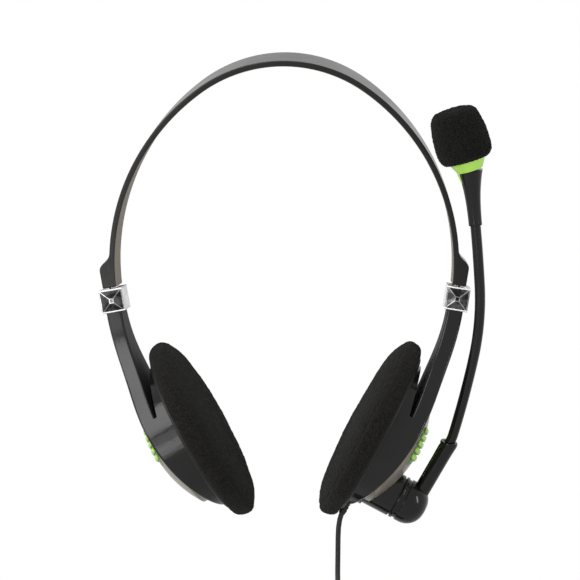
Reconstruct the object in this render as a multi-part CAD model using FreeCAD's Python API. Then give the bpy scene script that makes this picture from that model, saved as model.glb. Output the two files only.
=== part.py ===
# Lightweight on-ear headset with a boom microphone.
# Millimetres, +Z up. The origin lies midway between the centres of the two ear pads, +X is the
# side that carries the microphone and -Y is the front.
import FreeCAD
import Part
import os
from math import acos, atan2, cos, degrees, pi, radians, sin, sqrt, tan
from FreeCAD import Matrix, Placement, Rotation, Vector

os.makedirs("parts", exist_ok=True)

# ---------------------------------------------------------------- driving dimensions
# headband: a crown arc that runs on into two flatter side arcs
band_width = 18.0
band_thickness = 2.2
band_edge_radius = 0.7
crown_height = 136.2
band_cant = 3.8
crown_radius = 51.3
crown_half_angle = 35.7
side_radius = 79.5

# shoulder block at each end of the band, and the line on which the arm slides
shoulder_height = 53.0
shoulder_shift = 1.7
shoulder_depth = 6.5
shoulder_ramp = 6.2
shoulder_outer = 2.4
slide_tilt = 9.5

# slider strip of spring steel
strip_width = 10.0
strip_thickness = 1.0
strip_root = 5.0
foot_width = 12.0
foot_height = 2.5
detent_hole_radius = 0.8
detent_count = 7
slide_travel = 18.0
slide_clearance = 0.3

# plated collar on the top of the arm
collar_gap = 0.5
collar_width = 7.0
collar_depth = 18.4
collar_height = 7.6
collar_rim = 0.8
collar_rim_proud = 0.3
collar_facet = 0.8
collar_socket = 2.2
socket_clearance = 0.1
spigot_wall_x = 0.9
spigot_wall_y = 1.5
spring_pocket = 1.1
spring_width = 5.0
spring_leaf = 0.25
spring_margin = 0.3

# arm and cup shell, one moulding
arm_thickness = 5.7
arm_width = 16.0
arm_lip = 1.5
arm_edge_radius = 0.8
shell_radius = 29.0
shell_crest = 15.2
shell_neck_height = 24.0
shell_neck_offset = 15.4
shell_foot_offset = 5.9
shell_step_height = 13.5
shell_wall = 2.0
shell_flare_angle = 59.0
rim_low_gap = 0.9
rim_top_offset = 6.4
seat_offset = 10.2
seat_slope = 0.1

# cup position: centre of each ear pad and the lean of its plane
pad_spacing = 61.6
cup_tilt = 28.3

# outer dome cap and its ribbed accent
cap_radius = 24.5
cap_clearance = 0.1
cap_rim_offset = 12.6
cap_rise = 7.8
cap_wall = 1.6
accent_radius = 15.0
accent_low = -4.0
accent_high = 9.5
accent_ribs = 5
accent_inlay = 0.7
accent_rib_height = 0.7
accent_slant = 10.0

# driver plate, loudspeaker and foam pad
plate_radius = 31.5
plate_front = 2.0
plate_back = 5.2
pad_radius = 35.7
pad_crown = 7.2
pad_lip_back = 3.9
pad_gap = 0.3
driver_radius = 13.5
driver_height = -1.6
driver_depth = 2.3
driver_wall = 1.2
diaphragm_lift = 0.8
diaphragm_dome = 0.7
diaphragm_skin = 0.2
magnet_radius = 6.0
magnet_depth = 3.3
sound_hole_radius = 1.1
screw_radius = 1.0
screw_head = 1.2
screw_head_radius = 1.9
screw_length = 5.2
screw_circle = 26.8
screw_angles = (75.0, 140.0, 220.0, 285.0)

# boom pivot at the foot of the right cup
pivot_height = -17.9
barrel_radius = 8.2
barrel_inner = 6.0
barrel_outer = 21.0
flange_proud = 0.8
flange_outer = 10.4
pin_radius = 2.5
pin_clearance = 0.05
clip_radius = 4.4
clip_thickness = 0.8
clip_recess = 2.6
washer_thickness = 0.6
washer_radius = 7.4
knob_depth = 11.4
knob_round = 7.0
pin_seat = 6.0
swing_rest = 9.0

# boom: sleeve, flexible neck and microphone
sleeve_axis = 28.2
sleeve_lean = 1.0
sleeve_radius = 3.0
sleeve_root = 5.5
sleeve_end = 28.0
neck_radius = 1.9
neck_seat = 4.0
neck_bends = ((14.0, 12.5), (380.0, 4.5), (106.0, 15.0), (540.0, 2.5))
mic_lean = 33.5
mic_foot_radius = 2.5
mic_foot_height = 1.4
mic_waist_radius = 1.9
mic_waist_height = 0.8
mic_length = 18.7
mic_top_radius = 4.4
head_lean = 44.5
ring_height = 3.7
ring_top_radius = 6.7
ring_wall = 0.9
tab_width = 3.2
tab_length = 3.4
cage_radius = 4.0
cage_height = 9.0
cage_wall = 0.7
capsule_radius = 3.0
capsule_height = 2.8
windscreen_radius = 10.0
windscreen_length = 21.0
windscreen_top_radius = 8.6

# cord, its strain relief, the tied coil and the plug
cord_radius = 1.0
relief_lean = 24.0
relief_radius = 1.6
relief_tip_radius = 1.3
relief_length = 5.0
relief_seat = 3.0
relief_clearance = 0.05
relief_offset = 5.9
relief_inset = 0.5
cord_drop = 48.0
coil_shift = 6.0
coil_entry = 32.0
coil_radius = 11.8
coil_bundle = 6.2
tail_length = 32.0
tie_width = 3.0
tie_thickness = 0.6
plug_relief_length = 9.0
plug_relief_radius = 2.0
plug_body_radius = 4.0
plug_body_length = 20.0
jack_radius = 1.75
jack_length = 14.0
jack_tip = 2.9

X = Vector(1, 0, 0)
Y = Vector(0, 1, 0)
Z = Vector(0, 0, 1)
ORIGIN = Vector(0, 0, 0)
big = 200.0


# ---------------------------------------------------------------- helpers
def export(name, shape):
    shape.exportStep("parts/" + name + ".step")


def box(x0, x1, y0, y1, z0, z1):
    return Part.makeBox(x1 - x0, y1 - y0, z1 - z0, Vector(x0, y0, z0))


def rod(radius, start, end):
    """Cylinder between two points."""
    return Part.makeCylinder(radius, (end - start).Length, start, end - start)


def xrod(radius, x0, x1, y=0.0, z=0.0):
    """Cylinder along X."""
    return rod(radius, Vector(x0, y, z), Vector(x1, y, z))


def line(a, b):
    return Part.LineSegment(a, b).toShape()


def arc(a, m, b):
    return Part.Arc(a, m, b).toShape()


def bezier(*poles):
    curve = Part.BezierCurve()
    curve.setPoles(list(poles))
    return curve.toShape()


def face(*edges):
    return Part.Face(Part.Wire(list(edges)))


def polygon(points):
    return Part.Face(Part.makePolygon(points + points[:1]))


def turn(profile, axis=X, base=ORIGIN):
    return profile.revolve(base, axis, 360)


def placed(shape, *placements):
    """The shape moved from a local frame, through each outer frame, into the headset's frame."""
    moved = shape.copy()
    frame = Placement()
    for placement in placements:
        frame = frame.multiply(placement)
    moved.Placement = frame.multiply(moved.Placement)
    return moved


def mirrored(shape):
    return shape.mirror(ORIGIN, X)


def lean(angle):
    """Unit vector in the XZ plane that leans from +Z towards +X."""
    return Vector(sin(radians(angle)), 0, cos(radians(angle)))


# ---------------------------------------------------------------- frames of the right side
# Side arc of the band: its centre and the point where it reaches the shoulder's height.
side_centre = Vector((crown_radius - side_radius) * sin(radians(crown_half_angle)), 0,
                     crown_height - crown_radius
                     + (crown_radius - side_radius) * cos(radians(crown_half_angle)))
shoulder_x = side_centre.x + sqrt(side_radius ** 2 - (shoulder_height - side_centre.z) ** 2)

# Slide frame: origin under the shoulder block, Z up the strip, X outwards.
slide_frame = Placement(Vector(shoulder_x + shoulder_shift, 0, shoulder_height), Rotation(Y, slide_tilt))
# Cup frame: origin at the ear pad's centre, X outwards along the cup's axis, Z up in its plane.
cup_frame = Placement(Vector(pad_spacing / 2, 0, 0), Rotation(Y, cup_tilt))
# Boom frame: origin on the pivot axis, Z along the sleeve.
boom_frame = cup_frame.multiply(Placement(Vector(0, 0, pivot_height), Rotation(X, swing_rest)))

# Sleeve frame, inside the boom frame: origin level with the pivot, Z along the leaning sleeve.
sleeve_frame = Placement(Vector(sleeve_axis, 0, 0), Rotation(Y, sleeve_lean))
# Strain relief frame: origin where it leaves the cup's edge, -Z down the cord.
relief_in_cup = Placement(Vector(relief_offset, 0, -shell_radius + relief_inset),
                          Rotation(Y, relief_lean - cup_tilt))
relief_frame = cup_frame.multiply(relief_in_cup)

collar_top = -collar_gap
collar_bottom = collar_top - collar_height
lip_bottom = collar_bottom - arm_lip
strip_length = -lip_bottom + slide_travel + slide_clearance + foot_height
spigot_x = arm_thickness / 2 - spigot_wall_x
spigot_y = arm_width / 2 - spigot_wall_y
spring_low = collar_bottom + collar_socket + spring_margin
spring_high = collar_top - collar_rim
detent_centre = (spring_low + spring_high) / 2


# ---------------------------------------------------------------- headband
def arch_point(angle, radius_change=0.0):
    """Point of the arch at an angle from the top; radius_change steps off its middle line."""
    if angle <= crown_half_angle:
        centre = Vector(0, 0, crown_height - crown_radius)
        return centre + lean(angle) * (crown_radius + radius_change)
    return side_centre + lean(angle) * (side_radius + radius_change)


def side_edges(change, end_angle):
    """Crown arc and side arc of one face of the band, from the top down to an angle."""
    middle = (crown_half_angle + end_angle) / 2
    return [arc(arch_point(0, change), arch_point(crown_half_angle / 2, change),
                arch_point(crown_half_angle, change)),
            arc(arch_point(crown_half_angle, change), arch_point(middle, change),
                arch_point(end_angle, change))]


def band_outline():
    """Closed outline of the right half: outer face, ramp, shoulder block, inner face."""
    half = band_thickness / 2
    ramp_top = degrees(acos((shoulder_height + shoulder_depth + shoulder_ramp - side_centre.z)
                            / side_radius))
    start = arch_point(ramp_top, half)
    corner = slide_frame.multVec(Vector(shoulder_outer, 0, shoulder_depth))
    foot = slide_frame.multVec(Vector(shoulder_outer, 0, 0))
    reach = shoulder_ramp / 2
    ramp = bezier(start, start - lean(ramp_top - 90) * reach, corner + lean(slide_tilt) * reach, corner)
    drop = (slide_frame.Base - side_centre).dot(lean(slide_tilt))
    inner_angle = slide_tilt + degrees(acos(drop / (side_radius - half)))
    inner = side_edges(-half, inner_angle)
    edges = side_edges(half, ramp_top) + [ramp, line(corner, foot),
                                          line(foot, arch_point(inner_angle, -half))]
    edges += inner[::-1] + [line(arch_point(0, -half), arch_point(0, half))]
    return Part.Wire(edges)


def band_section(y):
    """The outline at one depth; the canted crown stands higher towards the rear."""
    stretch = 1 + band_cant * y / band_width / (crown_height - shoulder_height)
    matrix = Matrix()
    matrix.A33 = stretch
    matrix.A34 = shoulder_height * (1 - stretch)
    matrix.A24 = y
    return band_outline().transformGeometry(matrix)


def make_headband():
    right = Part.makeLoft([band_section(-band_width / 2), band_section(band_width / 2)], True, True)
    band = right.fuse(mirrored(right))
    for socket in (placed(strip_socket(), slide_frame), mirrored(placed(strip_socket(), slide_frame))):
        band = band.cut(socket)
    return band


def strip_socket():
    """Blind slot in the shoulder block that holds the strip's root."""
    return box(-strip_thickness / 2, strip_thickness / 2, -strip_width / 2, strip_width / 2,
               -1.0, strip_root)


def make_slider_strip():
    """Steel strip with a row of detent holes and a wide foot that stops it in the arm."""
    strip = box(-strip_thickness / 2, strip_thickness / 2, -strip_width / 2, strip_width / 2,
                -strip_length, strip_root)
    foot = box(-strip_thickness / 2, strip_thickness / 2, -foot_width / 2, foot_width / 2,
               -strip_length, -strip_length + foot_height)
    strip = strip.fuse(foot).removeSplitter()
    pitch = slide_travel / (detent_count - 1)
    for i in range(detent_count):
        height = detent_centre - i * pitch
        strip = strip.cut(xrod(detent_hole_radius, -strip_thickness, strip_thickness, 0, height))
    return strip


# ---------------------------------------------------------------- collar and detent spring
def make_collar():
    """Plated block with faceted ends, thin rims, a slot for the strip and a socket for the arm."""
    half = collar_width / 2
    body_end = collar_depth / 2 - collar_facet
    body = box(-half, half, -body_end, body_end, collar_bottom, collar_top)
    facet_low = collar_bottom + collar_rim
    facet_high = collar_top - collar_rim
    middle = (facet_low + facet_high) / 2
    tip = 0.2
    facet = Part.makeWedge(-half, 0, facet_low, middle - tip, -tip,
                           half, collar_facet, facet_high, middle + tip, tip)
    facet.translate(Y * body_end)
    body = body.fuse(facet).fuse(facet.mirror(ORIGIN, Y))
    for low in (collar_bottom, facet_high):
        rim = box(-half - collar_rim_proud, half + collar_rim_proud,
                  -body_end - collar_rim_proud, body_end + collar_rim_proud, low, low + collar_rim)
        body = body.fuse(rim)
    body = body.removeSplitter()
    slot_x = strip_thickness / 2 + slide_clearance
    slot_y = strip_width / 2 + slide_clearance
    body = body.cut(box(-slot_x, slot_x, -slot_y, slot_y, collar_bottom - 1, collar_top + 1))
    gap = socket_clearance
    body = body.cut(box(-spigot_x - gap, spigot_x + gap, -spigot_y - gap, spigot_y + gap,
                        collar_bottom - 1, collar_bottom + collar_socket))
    return body.cut(box(-slot_x - spring_pocket, 0, -spring_width / 2 - gap, spring_width / 2 + gap,
                        spring_low, spring_high))


def make_detent_spring():
    """Bowed leaf in the collar whose crown bears on the strip's detent holes."""
    back = -strip_thickness / 2 - slide_clearance - spring_pocket
    crown = -strip_thickness / 2 - socket_clearance
    low = Vector(back, 0, spring_low + socket_clearance)
    high = Vector(back, 0, spring_high - socket_clearance)
    mid = Vector(crown - spring_leaf, 0, detent_centre)
    shift = X * spring_leaf
    leaf = face(arc(low, mid, high), line(high, high + shift),
                arc(high + shift, mid + shift, low + shift), line(low + shift, low))
    leaf = leaf.extrude(Y * spring_width)
    leaf.translate(Y * (-spring_width / 2))
    return leaf


# ---------------------------------------------------------------- arm and cup shell
def circle_centre(a, b, c):
    """Centre of the circle through three points of the XZ plane."""
    return arc(a, b, c).Curve.Center


shell_neck = Vector(shell_neck_offset, 0, shell_neck_height)
shell_top = Vector(shell_crest, 0, 0)
shell_foot = Vector(shell_foot_offset, 0, -shell_radius - 1)
shell_centre = circle_centre(shell_neck, shell_top, shell_foot)


def shell_profile_step():
    """Inner corner of the arm where it stands on the cup's step."""
    inner = (shell_neck - shell_centre).Length - arm_thickness
    return Vector(shell_centre.x + sqrt(inner ** 2 - (shell_step_height - shell_centre.z) ** 2), 0,
                  shell_step_height)


def shell_profile():
    """Side outline of the arm and shell in the cup frame."""
    into_cup = cup_frame.inverse().multiply(slide_frame)
    half = arm_thickness / 2
    top_out = into_cup.multVec(Vector(half, 0, collar_bottom))
    top_in = into_cup.multVec(Vector(-half, 0, collar_bottom))
    down = lean(slide_tilt - cup_tilt) * -1
    inner = (shell_neck - shell_centre).Length - arm_thickness
    neck_in = shell_centre + (shell_neck - shell_centre).normalize() * inner
    step = shell_profile_step()
    tangent = Vector(-(shell_neck - shell_centre).z, 0, (shell_neck - shell_centre).x).normalize()
    reach = (top_out - shell_neck).Length * 0.38
    middle = shell_centre + ((step + neck_in) * 0.5 - shell_centre).normalize() * inner
    step_foot = Vector(plate_back, 0, shell_step_height)
    low_in = Vector(plate_back, 0, shell_foot.z)
    return face(bezier(top_out, top_out + down * reach, shell_neck + tangent * reach, shell_neck),
                arc(shell_neck, shell_top, shell_foot), line(shell_foot, low_in), line(low_in, step_foot),
                line(step_foot, step), arc(step, middle, neck_in),
                bezier(neck_in, neck_in + tangent * reach, top_in + down * reach, top_in),
                line(top_in, top_out))


def shell_plan():
    """Outline seen along the cup's axis: a round cup that narrows to the arm."""
    into_cup = cup_frame.inverse().multiply(slide_frame)
    top = into_cup.multVec(Vector(0, 0, collar_bottom)).z + arm_thickness
    flare = radians(shell_flare_angle)
    start = Vector(0, shell_radius * sin(flare), shell_radius * cos(flare))
    along = Vector(0, -cos(flare), sin(flare))
    half = arm_width / 2
    end = Vector(0, half, top)
    reach = (top - start.z) * 0.36
    bottom = Vector(0, 0, -shell_radius)

    def other(v):
        return Vector(v.x, -v.y, v.z)

    poles = [end, end - Z * reach * 1.4, start + along * reach, start]
    return face(bezier(*poles), arc(start, bottom, other(start)),
                bezier(*[other(p) for p in poles[::-1]]), line(other(end), end))


def standing_rim():
    """Low wall round the top of the cup, behind the driver plate, that slopes towards its crest."""
    side = shell_profile_step().x - rim_low_gap
    low = shell_step_height - shell_wall
    slope = polygon([Vector(plate_back, 0, low), Vector(side, 0, low), Vector(side, 0, shell_step_height),
                     Vector(rim_top_offset, 0, shell_radius), Vector(plate_back, 0, shell_radius)])
    slope = slope.extrude(Y * 2 * shell_radius)
    slope.translate(Y * -shell_radius)
    ring = xrod(shell_radius, 0, big / 2).cut(xrod(shell_radius - shell_wall, 0, big / 2))
    return slope.common(ring)


def seat_block(depth):
    """Block above the slanted seat plane of the dome cap."""
    block = box(0, depth, -big / 2, big / 2, -big / 2, big / 2)
    block.rotate(ORIGIN, Y, degrees(atan2(seat_slope, 1)))
    block.translate(X * seat_offset)
    return block


def make_arm_shell(with_pivot):
    """Gloss moulding: arm, standing plate over the slot, cup wall, cap seat and strip channel."""
    reach = shell_radius + 5
    body = shell_profile().extrude(Y * 2 * reach)
    body.translate(Y * -reach)
    plan = shell_plan().extrude(X * 2 * reach)
    plan.translate(X * -reach)
    body = body.common(plan).removeSplitter()
    rim = [e for e in body.Edges if e.Length > 3 * arm_edge_radius and e.Curve.TypeId == "Part::GeomBSplineCurve"
           and e.BoundBox.XLength + e.BoundBox.ZLength > arm_thickness * 1.5]
    body = body.makeFillet(arm_edge_radius, rim)
    body = body.cut(xrod(cap_radius + cap_clearance, 0, big / 2).common(seat_block(big / 2)))
    cavity = xrod(cap_radius - shell_wall, plate_back - 1, shell_crest + 5)
    cavity = cavity.common(box(0, big / 2, -big / 2, big / 2, -big / 2, shell_step_height - shell_wall))
    body = body.cut(cavity)
    body = body.fuse(standing_rim())
    if with_pivot:
        body = body.fuse(xrod(barrel_radius, barrel_inner, barrel_outer, 0, pivot_height))
        body = body.fuse(xrod(barrel_radius + flange_proud, barrel_inner, flange_outer, 0, pivot_height))
        body = body.cut(xrod(pin_radius + pin_clearance, 0, big / 2, 0, pivot_height))
        body = body.cut(xrod(clip_radius + pin_clearance, 0, barrel_inner + clip_recess, 0, pivot_height))
        body = body.cut(placed(relief_room(), relief_in_cup))
    for angle in screw_angles:
        y, z = screw_place(angle)
        body = body.cut(xrod(screw_radius + cap_clearance / 2, 0, plate_front + screw_length + 0.5, y, z))
    slide_in_cup = cup_frame.inverse().multiply(slide_frame)
    body = body.cut(placed(channel(), slide_in_cup))
    return body.fuse(placed(make_spigot(), slide_in_cup))


def channel():
    """Room in the arm for the strip: a narrow mouth under the collar and a wide channel below."""
    half_x = strip_thickness / 2 + slide_clearance
    mouth = strip_width / 2 + slide_clearance
    wide = foot_width / 2 + slide_clearance
    return box(-half_x, half_x, -mouth, mouth, lip_bottom, collar_bottom + 1).fuse(
        box(-half_x, half_x, -wide, wide, -strip_length - 1, lip_bottom))


def make_spigot():
    """Hollow tongue on top of the arm that seats in the collar's socket."""
    outer = box(-spigot_x, spigot_x, -spigot_y, spigot_y, collar_bottom, collar_bottom + collar_socket)
    half_x = strip_thickness / 2 + slide_clearance
    mouth = strip_width / 2 + slide_clearance
    return outer.cut(box(-half_x, half_x, -mouth, mouth, collar_bottom - 1, collar_bottom + 10))


def screw_place(angle):
    """Centre of a plate screw, at an angle from the top of the cup."""
    return screw_circle * sin(radians(angle)), screw_circle * cos(radians(angle))


# ---------------------------------------------------------------- dome cap and accent
dome_radius = (cap_radius ** 2 + cap_rise ** 2) / (2 * cap_rise)
dome_centre = Vector(cap_rim_offset + cap_rise - dome_radius, 0, 0)


def dome(change):
    return Part.makeSphere(dome_radius + change, dome_centre)


def make_cap(with_pivot):
    """Thin domed cap with a skirt cut to the slanted seat and a recess for the accent."""
    cap = xrod(cap_radius, 0, big / 2).common(dome(0)).common(seat_block(big / 2))
    inside = xrod(cap_radius - cap_wall, -1, big / 2).common(dome(-cap_wall))
    cap = cap.cut(inside)
    cap = cap.cut(accent_area(cap_clearance).cut(dome(-accent_inlay)))
    if with_pivot:
        cap = cap.cut(xrod(barrel_radius + pad_gap, 0, big / 2, 0, pivot_height))
        cap = cap.cut(xrod(barrel_radius + flange_proud + pad_gap, 0, flange_outer + pad_gap,
                           0, pivot_height))
    return cap


def accent_area(margin):
    """Part of a disc, looking along the cup's axis, that the accent fills."""
    disc = xrod(accent_radius + margin, cap_rim_offset - cap_wall, big / 2)
    return disc.common(box(0, big / 2, -big / 2, big / 2, accent_low - margin, accent_high + margin))


def make_accent():
    """Inlay in the cap with ribs that run from front to back."""
    base = accent_area(0).common(dome(0)).cut(dome(-accent_inlay))
    pitch = (accent_high - accent_low) / accent_ribs
    for i in range(accent_ribs):
        low = accent_low + (i + 0.2) * pitch
        rib = accent_area(0).common(dome(accent_rib_height)).cut(dome(-accent_inlay / 2))
        band = box(0, big / 2, -big / 2, big / 2, low, low + pitch * 0.6)
        band.rotate(ORIGIN, X, -accent_slant)
        base = base.fuse(rib.common(band))
    return base.removeSplitter()


# ---------------------------------------------------------------- driver plate, driver and pad
def make_plate(with_pivot):
    """Round plate behind the pad with a ring of sound holes and a seat for the loudspeaker."""
    plate = xrod(plate_radius, plate_front, plate_back)
    edges = [e for e in plate.Edges if e.Length > 2 * plate_radius]
    plate = plate.makeFillet(0.6, edges)
    plate = plate.cut(xrod(driver_radius + cap_clearance, plate_back - driver_depth, plate_back + 1,
                           0, driver_height))
    for ring, count in ((0, 1), (4.0, 6), (8.0, 12)):
        for i in range(count):
            angle = 2 * pi * i / count
            plate = plate.cut(xrod(sound_hole_radius, 0, plate_back, ring * sin(angle),
                                   driver_height + ring * cos(angle)))
    for angle in screw_angles:
        y, z = screw_place(angle)
        plate = plate.cut(xrod(screw_radius + cap_clearance, 0, plate_back + 1, y, z))
        plate = plate.cut(xrod(screw_head_radius + cap_clearance, 0, plate_front + screw_head, y, z))
    if with_pivot:
        plate = plate.cut(placed(relief_room(), relief_in_cup))
    return plate


def make_driver_frame():
    """Shallow dished frame of the loudspeaker, open in front, with its magnet's seat behind."""
    z = driver_height
    front = plate_back - driver_depth
    frame = xrod(driver_radius, front, plate_back, 0, z)
    frame = frame.cut(xrod(driver_radius - driver_wall, front - 1, plate_back - driver_wall, 0, z))
    return frame


def make_diaphragm():
    """Thin shallow cone stretched inside the loudspeaker's frame."""
    back = plate_back - driver_depth + diaphragm_lift
    rim = driver_radius - driver_wall
    cone = turn(polygon([Vector(back - diaphragm_dome, 0, 0), Vector(back, 0, rim),
                         Vector(back + diaphragm_skin, 0, rim),
                         Vector(back + diaphragm_skin - diaphragm_dome, 0, 0)]))
    cone.translate(Z * driver_height)
    return cone


def make_magnet():
    return xrod(magnet_radius, plate_back, plate_back + magnet_depth, 0, driver_height)


def make_screws():
    """Countersunk plate screws, one solid each."""
    screws = []
    for angle in screw_angles:
        y, z = screw_place(angle)
        shank = xrod(screw_radius, plate_front, plate_front + screw_length, y, z)
        screws.append(shank.fuse(xrod(screw_head_radius, plate_front, plate_front + screw_head, y, z)))
    return Part.makeCompound([s.removeSplitter() for s in screws])


def make_pad():
    """Domed foam pad whose lip wraps the driver plate's edge."""
    clear = plate_radius + pad_gap
    crown = Vector(-pad_crown, 0, 0)
    edge = Vector(0, 0, pad_radius)
    shoulder = Vector(-pad_crown * 0.8, 0, pad_radius * 0.62)
    back_out = Vector(pad_lip_back, 0, pad_radius - 1.4)
    back_in = Vector(pad_lip_back, 0, clear)
    seat_out = Vector(plate_front, 0, clear)
    seat = Vector(plate_front, 0, 0)
    edge_mid = Vector(pad_lip_back * 0.65, 0, pad_radius - 0.35)
    profile = face(bezier(crown, Vector(-pad_crown, 0, pad_radius * 0.6),
                          Vector(-pad_crown * 0.75, 0, pad_radius), edge),
                   arc(edge, edge_mid, back_out), line(back_out, back_in), line(back_in, seat_out),
                   line(seat_out, seat), line(seat, crown))
    return turn(profile)


# ---------------------------------------------------------------- boom pivot
def make_pin():
    """Headless pivot pin: turns in the barrel and is pressed into the knob."""
    return xrod(pin_radius, barrel_inner + 0.6, barrel_outer + washer_thickness + pin_seat)


def make_clip():
    """Retaining ring on the pin's inner end, seated in the barrel's recess."""
    outer = barrel_inner + clip_recess
    return xrod(clip_radius - pin_clearance, outer - clip_thickness, outer).cut(
        xrod(pin_radius, 0, outer + 1))


def make_washer():
    """Friction washer in the groove between the barrel and the knob."""
    return xrod(washer_radius, barrel_outer, barrel_outer + washer_thickness).cut(
        xrod(pin_radius + pin_clearance, 0, big))


def make_knob():
    """Domed knob, grooved round its foot, bored for the pin and the sleeve."""
    low = barrel_outer + washer_thickness
    high = low + knob_depth
    groove = 0.5
    lip = 1.2
    flat = barrel_radius - knob_round
    mid = knob_round * (1 - cos(radians(45)))
    profile = face(line(Vector(low, 0, 0), Vector(low, 0, barrel_radius)),
                   line(Vector(low, 0, barrel_radius), Vector(low + lip, 0, barrel_radius)),
                   line(Vector(low + lip, 0, barrel_radius), Vector(low + lip, 0, barrel_radius - groove)),
                   line(Vector(low + lip, 0, barrel_radius - groove),
                        Vector(low + 2 * lip, 0, barrel_radius - groove)),
                   line(Vector(low + 2 * lip, 0, barrel_radius - groove),
                        Vector(low + 2 * lip, 0, barrel_radius)),
                   line(Vector(low + 2 * lip, 0, barrel_radius), Vector(high - knob_round, 0, barrel_radius)),
                   arc(Vector(high - knob_round, 0, barrel_radius),
                       Vector(high - mid, 0, barrel_radius - mid), Vector(high, 0, flat)),
                   line(Vector(high, 0, flat), Vector(high, 0, 0)),
                   line(Vector(high, 0, 0), Vector(low, 0, 0)))
    knob = turn(profile)
    knob = knob.cut(xrod(pin_radius, 0, low + pin_seat))
    return knob.cut(placed(rod(sleeve_radius, Z * sleeve_root, Z * big), sleeve_frame))


# ---------------------------------------------------------------- boom
def neck_path():
    """Edges of the flexible neck's middle line, its end point and its end direction."""
    point = sleeve_frame.multVec(Z * sleeve_end)
    edges = [line(sleeve_frame.multVec(Z * (sleeve_end - neck_seat)), point)]
    heading = -sleeve_lean
    for radius, bend in neck_bends:
        centre = point - Vector(cos(radians(heading)), 0, sin(radians(heading))) * radius
        marks = [centre + Vector(cos(radians(heading + part * bend)), 0,
                                 sin(radians(heading + part * bend))) * radius for part in (0.5, 1.0)]
        edges.append(arc(point, marks[0], marks[1]))
        point = marks[1]
        heading += bend
    return edges, point, heading


def make_sleeve():
    """Straight sleeve that grips the foot of the flexible neck."""
    sleeve = rod(sleeve_radius, Z * sleeve_root, Z * sleeve_end)
    return placed(sleeve.cut(rod(neck_radius, Z * (sleeve_end - neck_seat), Z * big)), sleeve_frame)


def make_neck():
    edges, end, heading = neck_path()
    foot = sleeve_frame.multVec(Z * (sleeve_end - neck_seat))
    section = Part.Wire([Part.Circle(foot, lean(sleeve_lean), neck_radius).toShape()])
    return Part.Wire(edges).makePipeShell([section], True, True)


def mic_profile(steps):
    """Half outline turned about Z, from (radius, height) steps joined by straight lines."""
    return polygon([Vector(r, 0, h) for r, h in steps])


def make_mic_body():
    """Slender flared housing with a small foot ring round the neck's end."""
    top = mic_length
    waist = Vector(mic_waist_radius + 0.25, 0, mic_foot_height)
    side = bezier(waist, Vector(mic_waist_radius + 0.6, 0, top * 0.45),
                  Vector(mic_top_radius * 0.72, 0, top * 0.72), Vector(mic_top_radius, 0, top))
    foot = Vector(mic_foot_radius, 0, mic_foot_height)
    profile = face(line(Vector(0, 0, 0), Vector(mic_foot_radius, 0, 0)),
                   line(Vector(mic_foot_radius, 0, 0), foot), line(foot, waist), side,
                   line(Vector(mic_top_radius, 0, top), Vector(0, 0, top)),
                   line(Vector(0, 0, top), Vector(0, 0, 0)))
    return turn(profile, Z)


def make_ring():
    """Flared coloured ring between the housing and the windscreen, with one small tab."""
    inner = mic_top_radius - ring_wall
    ring = turn(mic_profile([(inner, 0), (mic_top_radius + 0.3, 0), (ring_top_radius, ring_height),
                             (inner, ring_height)]), Z)
    tab = turn(mic_profile([(inner, -tab_length), (mic_top_radius, -tab_length),
                            (mic_top_radius + 0.3, 0), (inner, 0)]), Z)
    tab = tab.common(box(-big, 0, -tab_width / 2, tab_width / 2, -big, big))
    return ring.fuse(tab).removeSplitter()


def make_cage():
    """Slotted cap over the microphone capsule, inside the windscreen."""
    low = ring_height
    cage = rod(cage_radius, Z * low, Z * (low + cage_height))
    cage = cage.cut(rod(cage_radius - cage_wall, Z * (low - 1), Z * (low + cage_height - cage_wall)))
    for angle in (0, 60, 120):
        slot = box(-big, big, -0.5, 0.5, low + cage_height * 0.35, low + cage_height * 0.8)
        slot.rotate(ORIGIN, Z, angle)
        cage = cage.cut(slot)
    return cage


def make_capsule():
    top = ring_height + cage_height - cage_wall
    return rod(capsule_radius, Z * (top - capsule_height), Z * top)


def make_windscreen():
    """Foam cover with a blind pocket for the cage."""
    low = ring_height
    high = low + windscreen_length
    r = windscreen_radius
    pocket = cage_radius + pad_gap
    pocket_top = low + cage_height + pad_gap
    profile = face(line(Vector(pocket, 0, low), Vector(r - 3.0, 0, low)),
                   bezier(Vector(r - 3.0, 0, low), Vector(r - 0.4, 0, low),
                          Vector(r, 0, low + 3.0), Vector(r, 0, low + 6.5)),
                   bezier(Vector(r, 0, low + 6.5), Vector(r, 0, low + 12.0),
                          Vector(windscreen_top_radius + 0.6, 0, high - 6.0),
                          Vector(windscreen_top_radius, 0, high - 3.2)),
                   bezier(Vector(windscreen_top_radius, 0, high - 3.2),
                          Vector(windscreen_top_radius - 0.6, 0, high - 0.3),
                          Vector(windscreen_top_radius - 3.0, 0, high),
                          Vector(0, 0, high)),
                   line(Vector(0, 0, high), Vector(0, 0, pocket_top)),
                   line(Vector(0, 0, pocket_top), Vector(pocket, 0, pocket_top)),
                   line(Vector(pocket, 0, pocket_top), Vector(pocket, 0, low)))
    return turn(profile, Z)


# ---------------------------------------------------------------- cord and plug
def relief_room():
    """Clearance for the root of the strain relief, cut in what holds it and in what it passes."""
    return rod(relief_radius + relief_clearance, Z * -relief_length, Z * relief_seat)


def make_relief():
    low = -relief_length
    profile = polygon([Vector(0, 0, relief_seat), Vector(relief_radius, 0, relief_seat),
                       Vector(relief_radius, 0, 0), Vector(relief_tip_radius, 0, low),
                       Vector(0, 0, low)])
    return turn(profile, Z)


def cord_start():
    return relief_frame.multVec(Vector(0, 0, -relief_length))


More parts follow.
